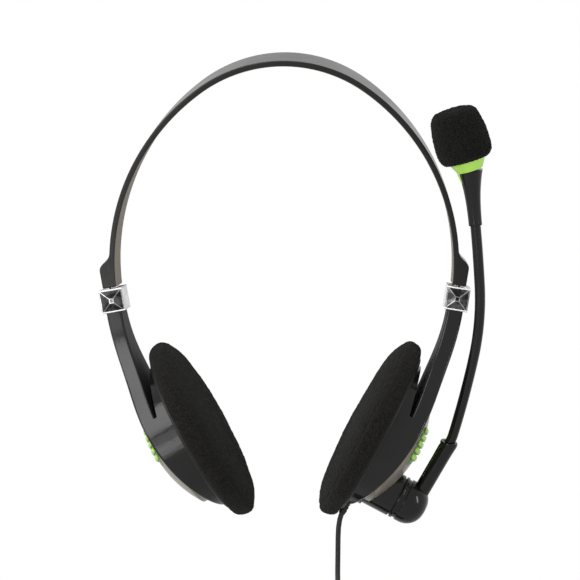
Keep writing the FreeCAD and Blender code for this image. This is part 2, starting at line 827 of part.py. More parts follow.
def tube(points, radius):
    """Round tube along straight runs joined by tangent arcs; returns it and its length."""
    edges = []
    last = points[0]
    length = 0.0
    for before, corner, after in zip(points, points[1:], points[2:]):
        arrive = (corner - before).normalize()
        leave = (after - corner).normalize()
        half_turn = arrive.getAngle(leave) / 2
        trim = 0.45 * min((corner - before).Length, (after - corner).Length)
        bend = trim / tan(half_turn)
        begin = corner - arrive * trim
        end = corner + leave * trim
        inward = (leave - arrive).normalize()
        centre = corner + inward * (bend / cos(half_turn))
        edges += [line(last, begin), arc(begin, centre - inward * bend, end)]
        length += (begin - last).Length + bend * 2 * half_turn
        last = end
        print("cord arc radius %.1f mm" % bend)
    edges.append(line(last, points[-1]))
    length += (points[-1] - last).Length
    start = (points[1] - points[0]).normalize()
    section = Part.Wire([Part.Circle(points[0], start, radius).toShape()])
    return Part.Wire(edges).makePipeShell([section], True, True), length


def cord_route():
    """Points from the strain relief down to the side of the tied coil."""
    start = cord_start()
    down = lean(relief_lean) * -1
    return [start, start + down * 3.2, start + Vector(-1.5, 0.4, -15), start + Vector(-1.7, 0.3, -24),
            start + Vector(-0.6, 0, -33), coil_point(coil_entry)]


def coil_centre():
    start = cord_start()
    return Vector(start.x - coil_shift, 0, start.z - cord_drop)


def coil_point(angle):
    """Point of the ring through the middle of the coil's bundle, at an angle from +X towards +Z."""
    a = radians(angle)
    return coil_centre() + Vector(cos(a), 0, sin(a)) * coil_radius


def make_coil():
    """Outer shape of the wound, tied cord."""
    return Part.makeTorus(coil_radius, coil_bundle, coil_centre(), Y)


def make_tie():
    """Strap round the bundle at the top of the coil."""
    span = degrees(tie_width / coil_radius)
    start = 90 + span / 2
    ring = Part.Circle(coil_point(start), tangent_at(start), coil_bundle + tie_thickness).toShape()
    return Part.Face(Part.Wire([ring])).revolve(coil_centre(), Y, span).cut(make_coil())


def tangent_at(angle):
    a = radians(angle)
    return Vector(-sin(a), 0, cos(a))


def tail_route():
    """Points from the side of the coil down to the plug."""
    leave = coil_point(0)
    return [leave, leave + Vector(-0.3, 0, -11), leave + Vector(-1.3, 0.4, -21),
            leave + Vector(-1.1, 0, -tail_length)]


def plug_axis():
    """Top of the plug's strain relief and its downward direction."""
    points = tail_route()
    return points[-1], (points[-1] - points[-2]).normalize()


def plug_profile(steps):
    """Solid turned about the plug's axis from (radius, distance down) steps."""
    top, down = plug_axis()
    shape = turn(mic_profile(steps), Z)
    shape.Placement = Placement(top, Rotation(Z, down))
    return shape


def make_plug_relief():
    return plug_profile([(0, 0), (cord_radius + 0.4, 0), (plug_relief_radius, plug_relief_length),
                         (0, plug_relief_length)])


def make_plug_body():
    low = plug_relief_length
    high = low + plug_body_length
    r = plug_body_radius
    shape = turn(face(line(Vector(0, 0, low), Vector(plug_relief_radius + 0.3, 0, low)),
                      bezier(Vector(plug_relief_radius + 0.3, 0, low), Vector(r, 0, low + 0.5),
                             Vector(r, 0, low + 3), Vector(r, 0, low + 6)),
                      line(Vector(r, 0, low + 6), Vector(r, 0, high - 0.6)),
                      line(Vector(r, 0, high - 0.6), Vector(r - 0.6, 0, high)),
                      line(Vector(r - 0.6, 0, high), Vector(0, 0, high)),
                      line(Vector(0, 0, high), Vector(0, 0, low))), Z)
    top, down = plug_axis()
    shape.Placement = Placement(top, Rotation(Z, down))
    return shape


def make_jack():
    """Four-pole jack with a plain shank, whose insulating rings are flush, and a waisted tip."""
    low = plug_relief_length + plug_body_length
    r = jack_radius
    tip = low + jack_length
    return plug_profile([(0, low), (r, low), (r, tip - jack_tip), (r * 0.72, tip - 2.3),
                         (r * 0.95, tip - 1.5), (r * 0.35, tip), (0, tip)])


# ---------------------------------------------------------------- assembly
def make_parts():
    """Every node's shape by name, in the headset's frame."""
    parts = {"headband": make_headband()}
    slide_parts = {"slider_strip": make_slider_strip(), "collar": make_collar(),
                   "detent_spring": make_detent_spring()}
    for side in ("left", "right"):
        pivot = side == "right"
        cup_parts = {"arm_shell": make_arm_shell(pivot), "dome_cap": make_cap(pivot),
                     "accent_ribs": make_accent(), "driver_plate": make_plate(pivot),
                     "driver_frame": make_driver_frame(), "diaphragm": make_diaphragm(),
                     "driver_magnet": make_magnet(), "plate_screws": make_screws(),
                     "ear_pad": make_pad()}
        for frame, group in ((slide_frame, slide_parts), (cup_frame, cup_parts)):
            for name, shape in group.items():
                shape = placed(shape, frame)
                parts[side + "_" + name] = shape if pivot else mirrored(shape)

    for name, shape in (("boom_pivot_pin", make_pin()), ("boom_pin_clip", make_clip()),
                        ("boom_knob", make_knob()), ("boom_sleeve", make_sleeve()),
                        ("boom_neck", make_neck())):
        parts[name] = placed(shape, boom_frame)
    parts["friction_washer"] = placed(make_washer(), boom_frame)

    end = neck_path()[1]
    mic_frame = boom_frame.multiply(Placement(end, Rotation(Y, -mic_lean)))
    head_frame = mic_frame.multiply(Placement(Z * mic_length, Rotation(Y, mic_lean - head_lean)))
    parts["mic_body"] = placed(make_mic_body(), mic_frame)
    for name, shape in (("mic_ring", make_ring()), ("mic_cage", make_cage()),
                        ("mic_capsule", make_capsule()), ("windscreen", make_windscreen())):
        parts[name] = placed(shape, head_frame)
    parts["mic_ring"] = parts["mic_ring"].cut(parts["mic_body"])

    parts["cord_relief"] = placed(make_relief(), relief_frame)
    parts["cord"], hung = tube(cord_route(), cord_radius)
    parts["cord_coil"] = make_coil()
    parts["cord_tie"] = make_tie()
    parts["cord_tail"], tail = tube(tail_route(), cord_radius)
    parts["plug_relief"] = make_plug_relief()
    parts["plug_body"] = make_plug_body()
    parts["plug_jack"] = make_jack()
    print("cord %.1f mm, tail %.1f mm" % (hung, tail))
    for name, length in (("cord", hung), ("cord_tail", tail)):
        print(name, "volume over section times length",
              round(parts[name].Volume / (pi * cord_radius ** 2 * length), 4))
    return parts


for node, solid in make_parts().items():
    export(node, solid)
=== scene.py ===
from math import acos, cos, degrees, pi, radians, sin, sqrt

import bmesh
import bpy
from mathutils import Matrix, Vector


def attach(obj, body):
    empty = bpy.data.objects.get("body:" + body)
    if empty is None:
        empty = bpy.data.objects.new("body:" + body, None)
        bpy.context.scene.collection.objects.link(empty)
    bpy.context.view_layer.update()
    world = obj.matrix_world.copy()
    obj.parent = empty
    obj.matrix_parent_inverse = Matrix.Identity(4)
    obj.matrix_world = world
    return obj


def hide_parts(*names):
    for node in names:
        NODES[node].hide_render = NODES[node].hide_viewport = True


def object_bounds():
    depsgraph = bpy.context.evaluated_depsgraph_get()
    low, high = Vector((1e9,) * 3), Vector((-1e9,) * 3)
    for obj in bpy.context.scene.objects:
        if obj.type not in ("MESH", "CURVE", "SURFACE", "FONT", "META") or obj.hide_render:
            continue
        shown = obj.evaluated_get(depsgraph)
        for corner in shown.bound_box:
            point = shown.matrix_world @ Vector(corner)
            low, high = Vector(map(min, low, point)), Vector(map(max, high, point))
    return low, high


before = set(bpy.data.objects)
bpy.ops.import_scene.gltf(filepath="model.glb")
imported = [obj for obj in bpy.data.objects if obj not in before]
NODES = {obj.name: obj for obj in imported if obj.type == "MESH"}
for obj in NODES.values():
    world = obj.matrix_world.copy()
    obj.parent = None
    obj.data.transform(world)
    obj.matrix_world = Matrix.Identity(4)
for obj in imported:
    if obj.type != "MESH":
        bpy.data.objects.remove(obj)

# Light on-ear headset with a swinging boom microphone. Sizes are in millimetres, and every
# mesh is scaled to metres as it is put in its place.
CAD_LOW, CAD_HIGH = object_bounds()
MM = 0.001
SIDES = ("left", "right")
BODY_OF = {"left": "left_arm", "right": "right_arm"}


# ---------------------------------------------------------------- where things are
def lean(angle):
    """Unit vector in the XZ plane that leans from +Z towards +X, by degrees."""
    return Vector((sin(radians(angle)), 0, cos(radians(angle))))


def tilt(angle, axis="Y"):
    """Turn about an axis, in degrees; about Y it leans +Z towards +X."""
    return Matrix.Rotation(radians(angle), 4, axis)


def at(x=0.0, y=0.0, z=0.0):
    """Shift to a place."""
    return Matrix.Translation((x, y, z))


# headband: a crown arc, a flatter arc down each side, and a shoulder at each end
CROWN_HEIGHT, CROWN_RADIUS, CROWN_HALF = 136.2, 51.3, 35.7
BAND_WIDTH, BAND_HALF, BAND_CANT = 18.0, 1.1, 3.8
SIDE_RADIUS, SHOULDER_HEIGHT, SHOULDER_SHIFT = 79.5, 53.0, 1.7
SHOULDER_OUT, SHOULDER_DEPTH, SHOULDER_RAMP = 2.4, 6.5, 6.2
CROWN_CENTRE = Vector((0, 0, CROWN_HEIGHT - CROWN_RADIUS))
SIDE_CENTRE = CROWN_CENTRE + lean(CROWN_HALF) * (CROWN_RADIUS - SIDE_RADIUS)
SHOULDER_X = SIDE_CENTRE.x + sqrt(SIDE_RADIUS ** 2 - (SHOULDER_HEIGHT - SIDE_CENTRE.z) ** 2)

# plated collar at the top of each arm
COLLAR_BLOCK, COLLAR_RIM = (8.6, 17.2, 8.6), (8.8, 17.4, 0.6)
COLLAR_CENTRE, LOW_RIM_HEIGHT, HIGH_RIM_HEIGHT = -4.9, -8.8, -0.9
FACET_RISE, FACET_TOP, RIM_SLOT_EDGE, RIM_SLOT_DEPTH = 0.7, 0.2, 2.9, 0.5

# cup: a foam pad, and a dome cap whose accent has ribs
PAD_REACH, PAD_RADIUS, PAD_CROWN = 30.8, 35.7, 7.3
DOME_RIM, DOME_RISE, DOME_SEAT = 24.5, 7.8, 12.6
DOME_RADIUS = (DOME_RIM ** 2 + DOME_RISE ** 2) / (2 * DOME_RISE)
DOME_CENTRE = DOME_SEAT + DOME_RISE - DOME_RADIUS
RIB_COUNT, RIB_RADIUS, RIB_SUNK, RIB_MARGIN = 5, 1.14, 0.3, 0.8
RIB_PITCH, RIB_LOW, RIB_SLANT, ACCENT_RADIUS = 2.7, -4.0, 10.0, 15.0

# boom: the knob on its pivot, the sleeve, the flexible neck with its (radius, degrees) bends, the head
PIVOT_HEIGHT, KNOB_SEAT, KNOB_ROUND_START, KNOB_ROUND, KNOB_RADIUS = -17.9, 21.66, 26.0, 7.0, 8.2
SLEEVE_REACH, SLEEVE_LEAN, SLEEVE_RADIUS, SLEEVE_END = 28.2, 1.0, 3.0, 28.0
NECK_BENDS = ((14.0, 12.5), (380.0, 4.5), (106.0, 15.0), (540.0, 2.5))
NECK_RADIUS, NECK_SEAT = 1.9, 4.0
MIC_LENGTH, HEAD_LEAN, TAB_HALF = 18.7, 44.5, 1.6

# a frame for each sub-part of the right side; the left side is its mirror image
SLIDE_TILT, CUP_TILT, SWING_REST = 9.5, 28.3, 9.0
slide_frame = at(SHOULDER_X + SHOULDER_SHIFT, 0, SHOULDER_HEIGHT) @ tilt(SLIDE_TILT)
cup_frame = at(PAD_REACH) @ tilt(CUP_TILT)
boom_frame = cup_frame @ at(0, 0, PIVOT_HEIGHT) @ tilt(SWING_REST, "X")
sleeve_frame = at(SLEEVE_REACH) @ tilt(SLEEVE_LEAN)
ALONG_X = tilt(90)
MIRROR = {"right": Matrix.Identity(4), "left": Matrix.Diagonal((-1, 1, 1, 1))}


def neck_stations(spacing=2.0):
    """Stations along the flexible neck in the boom frame, from its seat in the sleeve to its
    end: (point, heading in degrees)."""
    point = sleeve_frame @ Vector((0, 0, SLEEVE_END))
    heading = -SLEEVE_LEAN
    stations = [(sleeve_frame @ Vector((0, 0, SLEEVE_END - NECK_SEAT)), heading), (point, heading)]
    for radius, bend in NECK_BENDS:
        centre = point - lean(90 - heading) * radius
        parts = max(3, round(radius * radians(bend) / spacing))
        for i in range(1, parts + 1):
            turn = heading + bend * i / parts
            stations.append((centre + lean(90 - turn) * radius, turn))
        point, heading = stations[-1]
    return stations


NECK = neck_stations()
neck_end, mic_lean = NECK[-1]
mic_frame = boom_frame @ Matrix.Translation(neck_end) @ tilt(-mic_lean)
head_frame = mic_frame @ at(0, 0, MIC_LENGTH) @ tilt(mic_lean - HEAD_LEAN)


# ---------------------------------------------------------------- modelling by hand
def only(obj):
    """Leaves just this object selected and active."""
    bpy.ops.object.select_all(action="DESELECT")
    obj.select_set(True)
    bpy.context.view_layer.objects.active = obj


def mode(name):
    """Switches between OBJECT and EDIT mode."""
    bpy.ops.object.mode_set(mode=name)


def started(name):
    """Names the primitive that was just added and opens it for editing, all selected."""
    obj = bpy.context.active_object
    obj.name = obj.data.name = name
    mode("EDIT")
    bpy.ops.mesh.select_all(action="SELECT")
    return obj


def pick(obj, test, kind="verts"):
    """In edit mode, selects just the vertices or faces whose place and normal pass the test."""
    bpy.ops.mesh.select_all(action="DESELECT")
    bpy.ops.mesh.select_mode(type="VERT" if kind == "verts" else "FACE")
    mesh = bmesh.from_edit_mesh(obj.data)
    for part in getattr(mesh, kind):
        place = part.co if kind == "verts" else part.calc_center_median()
        if test(place, part.normal):
            part.select_set(True)
    mesh.select_flush_mode()
    bmesh.update_edit_mesh(obj.data)


def shift(x=0.0, y=0.0, z=0.0):
    """Moves what is selected."""
    bpy.ops.transform.translate(value=(x, y, z))


def grow(x, y, z, about):
    """Scales what is selected about a point."""
    bpy.ops.transform.resize(value=(x, y, z), center_override=about)


def extrude(x=0.0, y=0.0, z=0.0):
    """Extrudes what is selected and leaves the new end selected."""
    bpy.ops.mesh.extrude_region_move(TRANSFORM_OT_translate={"value": (x, y, z)})


def outward():
    """In edit mode, merges doubles and turns every face outwards."""
    bpy.ops.mesh.select_all(action="SELECT")
    bpy.ops.mesh.remove_doubles(threshold=0.0005)
    bpy.ops.mesh.normals_make_consistent(inside=False)


def modified(obj, kind, **settings):
    """Adds a modifier with its settings and applies it."""
    only(obj)
    modifier = obj.modifiers.new(kind.title(), kind)
    for key, value in settings.items():
        setattr(modifier, key, value)
    bpy.ops.object.modifier_apply(modifier=modifier.name)


def turned(name, rings, around=96, hoop=False):
    """Round shape drawn ring by ring, (radius, height), about the Z axis. A disc closes each
    end, or the last ring of a hoop meets its first."""
    radius, height = rings[0]
    bpy.ops.object.select_all(action="DESELECT")
    bpy.ops.mesh.primitive_circle_add(vertices=around, radius=radius,
                                      fill_type="NOTHING" if hoop else "TRIFAN")
    obj = started(name)
    shift(z=height)
    for (last_radius, last_height), (radius, height) in zip(rings, rings[1:]):
        extrude(z=height - last_height)
        wider = radius / last_radius
        grow(wider, wider, 1, (0, 0, height))
    outward()
    mode("OBJECT")
    return obj


def block(name, size, centre=(0, 0, 0)):
    """Cuboid of that size, open for editing."""
    bpy.ops.object.select_all(action="DESELECT")
    bpy.ops.mesh.primitive_cube_add(size=1)
    obj = started(name)
    grow(*size, (0, 0, 0))
    shift(*centre)
    return obj


def joined(name, *objects):
    """The objects as one mesh under that name."""
    bpy.ops.object.select_all(action="DESELECT")
    for obj in objects:
        obj.select_set(True)
    bpy.context.view_layer.objects.active = objects[0]
    bpy.ops.object.join()
    objects[0].name = objects[0].data.name = name
    return objects[0]


def bezier(a, b, c, d, count):
    """Points of a Bezier curve after its first, as (radius, height)."""
    points = []
    for i in range(1, count + 1):
        t = i / count
        u = 1 - t
        points.append(tuple(u ** 3 * p + 3 * u * u * t * q + 3 * u * t * t * r + t ** 3 * s
                            for p, q, r, s in zip(a, b, c, d)))
    return points


def placed(obj, *frames):
    """Puts a mesh in millimetres into its place in the headset, in metres, facing outwards."""
    place = Matrix.Scale(MM, 4)
    for local in frames:
        place = place @ local
    obj.data.transform(place)
    if place.determinant() < 0:
        obj.data.flip_normals()
    return obj


def smooth(obj, angle=35, weighted=True):
    """Smooth shading across edges flatter than the angle, in degrees."""
    only(obj)
    bpy.ops.object.shade_smooth_by_angle(angle=radians(angle))
    if weighted:
        modified(obj, "WEIGHTED_NORMAL", keep_sharp=True)


def dressed(obj, finish, slot, body, *nodes):
    """Gives a piece its finish and lets it ride in place of its CAD nodes."""
    if finish:
        obj.data.materials.clear()
        obj.data.materials.append(finish)
    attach(obj, body)
    if nodes:
        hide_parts(*nodes)
    return obj


def smooth_copy(node, finish, slot, body, angle=32):
    """Merged and smoothed copy of a rigid CAD node, which it replaces."""
    obj = bpy.data.objects.new(node + "_shape", NODES[node].data.copy())
    bpy.context.scene.collection.objects.link(obj)
    only(obj)
    mode("EDIT")
    bpy.ops.mesh.select_all(action="SELECT")
    bpy.ops.mesh.remove_doubles(threshold=1e-7)
    mode("OBJECT")
    smooth(obj, angle)
    return dressed(obj, finish, slot, body, node)


# ---------------------------------------------------------------- finishes
class Value:
    """A socket in a finish; an expression on values adds its Math nodes."""

    def __init__(self, finish, socket):
        self.finish, self.socket = finish, socket

    def _math(self, operation, first, second):
        return self.finish.add("ShaderNodeMath", {"operation": operation}, {0: first, 1: second})

    def __add__(self, other):
        return self._math("ADD", self, other)

    def __sub__(self, other):
        return self._math("SUBTRACT", self, other)

    def __rsub__(self, other):
        return self._math("SUBTRACT", other, self)

    def __mul__(self, other):
        return self._math("MULTIPLY", self, other)

    __radd__ = __add__
    __rmul__ = __mul__


class Finish:
    """A procedural material built round one Principled shader."""

    def __init__(self, name, **fixed):
        self.material = bpy.data.materials.new(name)
        self.material.use_nodes = True
        self.tree = self.material.node_tree
        self.shader = self.tree.nodes["Principled BSDF"]
        for key, value in fixed.items():
            self.shader.inputs[key.replace("_", " ")].default_value = value
        self.place = self.add("ShaderNodeTexCoord", output="Object")

    def feed(self, socket, value):
        """Links a value to a socket, or sets a number or a colour on it."""
        if isinstance(value, Value):
            self.tree.links.new(value.socket, socket)
        elif hasattr(value, "__len__") and len(value) == 3 and socket.type == "RGBA":
            socket.default_value = (*value, 1)
        else:
            socket.default_value = value

    def add(self, kind, settings=None, inputs=None, output=0):
        """Any node: its type, its settings, which are set first, and its sockets' values or links."""
        node = self.tree.nodes.new(kind)
        for key, value in (settings or {}).items():
            if key == "stops":
                while len(node.color_ramp.elements) < len(value):
                    node.color_ramp.elements.new(0.5)
                for element, (position, level) in zip(node.color_ramp.elements, value):
                    element.position, element.color = position, (level, level, level, 1)
            else:
                setattr(node, key, value)
        for key, value in (inputs or {}).items():
            self.feed(node.inputs[key], value)
        return Value(self, node.outputs[output])

    def noise(self, size, detail, place=None):
        """Noise from 0 to 1 whose blobs are about this many millimetres across."""
        return self.add("ShaderNodeTexNoise", {}, {"Vector": place or self.place,
                                                   "Scale": 1 / (size * MM), "Detail": detail})

    def cells(self, size):
        """Distance from the middle of cells this many millimetres apart."""
        return self.add("ShaderNodeTexVoronoi", {}, {"Vector": self.place, "Scale": 1 / (size * MM)},
                        "Distance")

    def ramp(self, value, *stops):
        """The value put through grey stops: (position, level)."""
        return self.add("ShaderNodeValToRGB", {"stops": stops}, {"Fac": value})

    def mix(self, share, first, second):
        """First colour where the share is 0, second where it is 1."""
        return self.add("ShaderNodeMix", {"data_type": "RGBA"},
                        {0: share, 6: first, 7: second}, 2)

    def mapped(self, rotation, scale):
        """The place on the piece, turned and stretched, for streaks."""
        return self.add("ShaderNodeMapping", {},
                        {"Vector": self.place, "Rotation": rotation, "Scale": scale})

    def vector(self, operation, first, second=None, output="Vector"):
        """Vector Math on one or two values."""
        inputs = {0: first} if second is None else {0: first, 1: second}
        return self.add("ShaderNodeVectorMath", {"operation": operation}, inputs, output)

    def surface(self, **links):
        """Values for the shader's sockets, by name."""
        for key, value in links.items():
            self.feed(self.shader.inputs[key.replace("_", " ")], value)

    def bump(self, height, strength, depth):
        """Relief of that depth in millimetres."""
        self.surface(Normal=self.add("ShaderNodeBump", {}, {
            "Height": height, "Strength": strength, "Distance": depth * MM}))


def gloss_black(name, base, rough, index, wave=0.45, dull=None, inside=None):
    """Polished black moulding: faint moulding waves, handling haze and hairline scuffs. Faces
    that look along the dull direction are rougher, with a spark-erosion texture, and keep only
    the darker tone, which is painted shade; those that look in towards the inside point are
    rougher too, and painted taupe, a lining colour that also paints in a light reflection."""
    f = Finish(name, IOR=index)
    haze = f.noise(14, 3)
    scuffs = f.ramp(f.noise(0.9, 4, f.mapped((0.3, 0.5, 0), (1, 1, 0.08))), (0.62, 0), (0.74, 1))
    dust = f.ramp(f.cells(2.6), (0.035, 1), (0.06, 0))
    dark, lit = (base, base, base * 0.97), (base * 1.9, base * 1.8, base * 1.65)
    worn = haze * 0.12 + scuffs * 0.1 + dust * 0.2 + (rough - 0.06)
    if dull or inside:
        if inside:
            dull = f.vector("NORMALIZE", f.vector("SUBTRACT", inside, f.place))
        facing = f.add("ShaderNodeTexCoord", output="Normal")
        # share of spark-erosion roughness and of painted shade on faces turned along the dull direction
        eroded_and_shaded = f.ramp(f.vector("DOT_PRODUCT", facing, dull, "Value"), (0.35, 0), (0.7, 1))
        worn = worn + eroded_and_shaded * 0.55
        # painted shade: on those faces the colour is held at the darker tone
        lit = f.mix(1 - eroded_and_shaded, dark, lit)
    if inside:
        # lining colour and painted reflection: faces that look in towards the inside point are painted light
        # taupe
        taupe_lining_and_reflection = f.mix(haze, (0.175, 0.155, 0.13), (0.25, 0.225, 0.19))
        lit, dark = f.mix(eroded_and_shaded, lit, taupe_lining_and_reflection), f.mix(eroded_and_shaded, dark, taupe_lining_and_reflection)
    f.surface(Base_Color=f.mix(haze * 0.5 + scuffs * 0.3 + dust * 0.5, dark, lit), Roughness=worn)
    f.bump(f.noise(4.5, 2) + f.noise(0.4, 2) * 0.04, wave, 0.09)
    return f.material


def satin_black():
    """Fine black plastic with a spark-erosion texture."""
    f = Finish("satin_black_plastic", IOR=1.3)
    grain = f.noise(0.28, 3)
    haze = f.noise(9, 2)
    f.surface(Base_Color=f.mix(haze * 0.6 + grain * 0.3, (0.00675, 0.00657, 0.00612),
                               (0.0135, 0.01305, 0.0117)),
              Roughness=haze * 0.1 + grain * 0.12 + 0.32)
    f.bump(grain, 0.35, 0.05)
    return f.material


def taupe_lacquer():
    """Warm grey metallic lacquer with fine flake."""
    f = Finish("taupe_lacquer", IOR=1.35)
    flake = f.cells(0.16)
    haze = f.noise(11, 2)
    f.surface(Base_Color=f.mix(flake * 0.9 + haze * 0.3, (0.12, 0.105, 0.086), (0.24, 0.213, 0.178)),
              Roughness=haze * 0.14 + 0.26, Metallic=flake * 0.4 + 0.1)
    f.bump(flake + f.noise(0.6, 2) * 0.6, 0.12, 0.03)
    return f.material


def lime_plastic(name, dome=None):
    """Lime green moulding, dulled a little by handling. Round a dome's centre it is painted
    deep green between the ribs, where it lies low on the dome: painted shade in the grooves."""
    f = Finish(name, IOR=1.38)
    cloud = f.noise(4.5, 3)
    grain = f.noise(0.25, 2)
    colour = f.mix(cloud * 0.8 + grain * 0.2, (0.26, 0.50, 0.05), (0.40, 0.66, 0.12))
    if dome:
        raised_out_of_groove_shade = f.add("ShaderNodeMapRange", {"interpolation_type": "SMOOTHSTEP"}, {
            "Value": f.vector("DISTANCE", f.place, dome * MM, "Value"),
            "From Min": (DOME_RADIUS + 0.1) * MM, "From Max": (DOME_RADIUS + 0.6) * MM})
        # painted shade: deep green where the surface lies low between the ribs
        colour = f.mix(raised_out_of_groove_shade, (0.05, 0.15, 0.008), colour)
    f.surface(Base_Color=colour, Roughness=cloud * 0.15 + grain * 0.1 + 0.28)
    f.bump(grain, 0.2, 0.03)
    return f.material


def foam(name, pore, dark, lit):
    """Open-cell black foam: pits between torn cell walls, painted darker as shade, and a few pale specks of
    dust.
    """
    f = Finish(name, Roughness=1.0, Specular_IOR_Level=0.04, Sheen_Weight=0.03, Sheen_Roughness=0.6)
    warp = f.noise(pore * 3, 2)
    walls = f.cells(pore)
    fine = f.cells(pore * 0.45)
    fibre = f.noise(pore * 0.3, 3)
    height = f.ramp(walls, (0.12, 0), (0.62, 1)) * 0.7 + fine * 0.35 + fibre * 0.35
    speck = f.ramp(f.cells(pore * 2.3), (0.05, 1), (0.09, 0))
    # painted shade: the low pits take the darker colour, mixed with random tone
    tone_and_pit_shade = height * 0.55 + warp * 0.35 + fibre * 0.25
    cloth = f.mix(f.ramp(tone_and_pit_shade, (0.30, 0), (0.95, 1)), (dark, dark, dark * 0.92),
                  (lit, lit * 0.96, lit * 0.86))
    f.surface(Base_Color=f.mix(speck * 0.3, cloth, (0.07, 0.065, 0.055)))
    f.bump(height, 0.9, pore * 0.45)
    return f.material


def chrome(name, base, spread):
    """Plating that is cloudy, and darker and brighter in blobs by a share of its brightness, which is painted
    reflection; with fine wiping marks.
    """
    f = Finish(name, Metallic=1.0)
    haze = f.noise(3.2, 3)
    wipe = f.noise(0.35, 3, f.mapped((0, 0.2, 0), (1, 1, 0.1)))
    low, high = base * (1 - spread), base * (1 + spread)
    # painted reflection: darker and brighter blobs of plating colour stand in for what the metal reflects
    f.surface(Base_Color=f.mix(f.ramp(haze, (0.4, 0), (0.6, 1)), (low, low * 0.98, low),
                               (high, high * 0.98, high)),
              Roughness=haze * 0.12 + wipe * 0.06 + 0.02)
    f.bump(haze + wipe * 0.2, 0.15, 0.05)
    return f.material


def steel(name, base, rough, grain=(0, 0, 0)):
    """Rolled or turned steel with drawn grain."""
    f = Finish(name, Metallic=1.0)
    drawn = f.noise(0.22, 3, f.mapped(grain, (1, 1, 0.04)))
    stain = f.noise(4, 2)
    f.surface(Base_Color=f.mix(drawn * 0.6 + stain * 0.4, (base * 0.72,) * 3,
                               (base * 1.1, base * 1.08, base * 1.04)),
              Roughness=drawn * 0.2 + stain * 0.1 + (rough - 0.12))
    f.bump(drawn, 0.2, 0.02)
    return f.material


def soft_vinyl():
    """Soft black cord jacket: fine grain, dust and dull patches."""
    f = Finish("cord_vinyl", IOR=1.32)
    patch = f.noise(6, 3)
    grain = f.noise(0.3, 2)
    dust = f.ramp(f.cells(1.3), (0.05, 1), (0.1, 0))
    f.surface(Base_Color=f.mix(patch * 0.5 + dust * 0.25, (0.0064, 0.0064, 0.00624),
                               (0.0176, 0.0172, 0.016)),
              Roughness=patch * 0.18 + grain * 0.1 + 0.3)
    f.bump(grain, 0.2, 0.03)
    return f.material


def cone_film():
    """Tinted plastic film of the loudspeaker's cone, a little wrinkled."""
    f = Finish("cone_film", Specular_IOR_Level=0.5)
    sheen = f.noise(2.5, 2)
    f.surface(Base_Color=f.mix(sheen, (0.10, 0.085, 0.05), (0.19, 0.165, 0.11)),
              Roughness=sheen * 0.2 + 0.2)
    f.bump(f.noise(1.2, 1), 0.3, 0.05)
    return f.material


inwards = tilt(SLIDE_TILT) @ Vector((-1, 0, 0))
# the arms' faces that look inwards are rougher and keep only the darker tone: painted shade
ARM_BLACK = {side: gloss_black(side + "_arm_gloss_black", 0.0045, 0.15, 1.33, dull=MIRROR[side] @ inwards)
             for side in SIDES}
# the band's inner faces are painted taupe: a lining colour that also paints in a light reflection
BAND = gloss_black("band_gloss_black", 0.008, 0.26, 1.26, inside=CROWN_CENTRE * MM)
BOOM = gloss_black("boom_gloss_black", 0.004, 0.16, 1.32, 0.12)
MATTE = satin_black()
TAUPE = taupe_lacquer()
LIME = lime_plastic("lime_plastic")
dome_centre = cup_frame @ Vector((DOME_CENTRE, 0, 0))
RIB_LIME = {side: lime_plastic(side + "_rib_lime", MIRROR[side] @ dome_centre) for side in SIDES}
PAD_FOAM = foam("pad_foam", 0.75, 0.0006, 0.0105)
MIC_FOAM = foam("windscreen_foam", 0.85, 0.0009, 0.0075)
# bright and dark copies of one plating; the dark copy is a painted dark reflection on the collar's facets
CHROME = chrome("bright_chrome", 0.30, 0.35)
DARK_REFLECTION_CHROME = chrome("smoked_chrome", 0.06, 0.7)
STRIP_STEEL = steel("strip_steel", 0.5, 0.26)
SCREW_STEEL = steel("screw_steel", 0.42, 0.36, (0.4, 0.2, 0))
PLATED = steel("jack_plating", 0.66, 0.2)
VINYL = soft_vinyl()
FILM = cone_film()


# ---------------------------------------------------------------- camera, light and floor
def make_camera():
    """Long lens from the front, a little to the right and above."""
    yaw, pitch, roll, reach = radians(2.4), radians(4.2), radians(-0.5), 0.8
    target = Vector((0.0019, 0, 0.0512))
    back = Vector((sin(yaw) * cos(pitch), -cos(yaw) * cos(pitch), sin(pitch)))
    right = (-back).cross(Vector((0, 0, 1))).normalized()
    up = right.cross(-back)
    right, up = cos(roll) * right + sin(roll) * up, cos(roll) * up - sin(roll) * right
    data = bpy.data.cameras.new("camera")
    data.sensor_width, data.lens = 36.0, 134.07
    data.clip_start, data.clip_end = 0.01, 20.0
    camera = bpy.data.objects.new("camera", data)
    bpy.context.scene.collection.objects.link(camera)
    turn = Matrix((right, up, back)).transposed().to_4x4()
    camera.matrix_world = Matrix.Translation(target + back * reach) @ turn
    bpy.context.scene.camera = camera


def make_world():
    """White where the camera, gloss and glass see it, and weaker on what it lights."""
    world = bpy.data.worlds.new("studio")
    bpy.context.scene.world = world
    world.use_nodes = True
    tree = world.node_tree
    background = tree.nodes["Background"]
    background.inputs["Color"].default_value = (1, 1, 1, 1)
    path = tree.nodes.new("ShaderNodeLightPath")
    seen = tree.nodes.new("ShaderNodeMath")
    seen.operation = "MAXIMUM"
    tree.links.new(path.outputs["Is Camera Ray"], seen.inputs[0])
    either = tree.nodes.new("ShaderNodeMath")
    either.operation = "MAXIMUM"
    tree.links.new(path.outputs["Is Glossy Ray"], either.inputs[0])
    tree.links.new(path.outputs["Is Transmission Ray"], either.inputs[1])
    tree.links.new(either.outputs[0], seen.inputs[1])
    level = tree.nodes.new("ShaderNodeMapRange")
    level.inputs["To Min"].default_value, level.inputs["To Max"].default_value = 0.42, 1.0
    tree.links.new(seen.outputs[0], level.inputs["Value"])
    tree.links.new(level.outputs[0], background.inputs["Strength"])


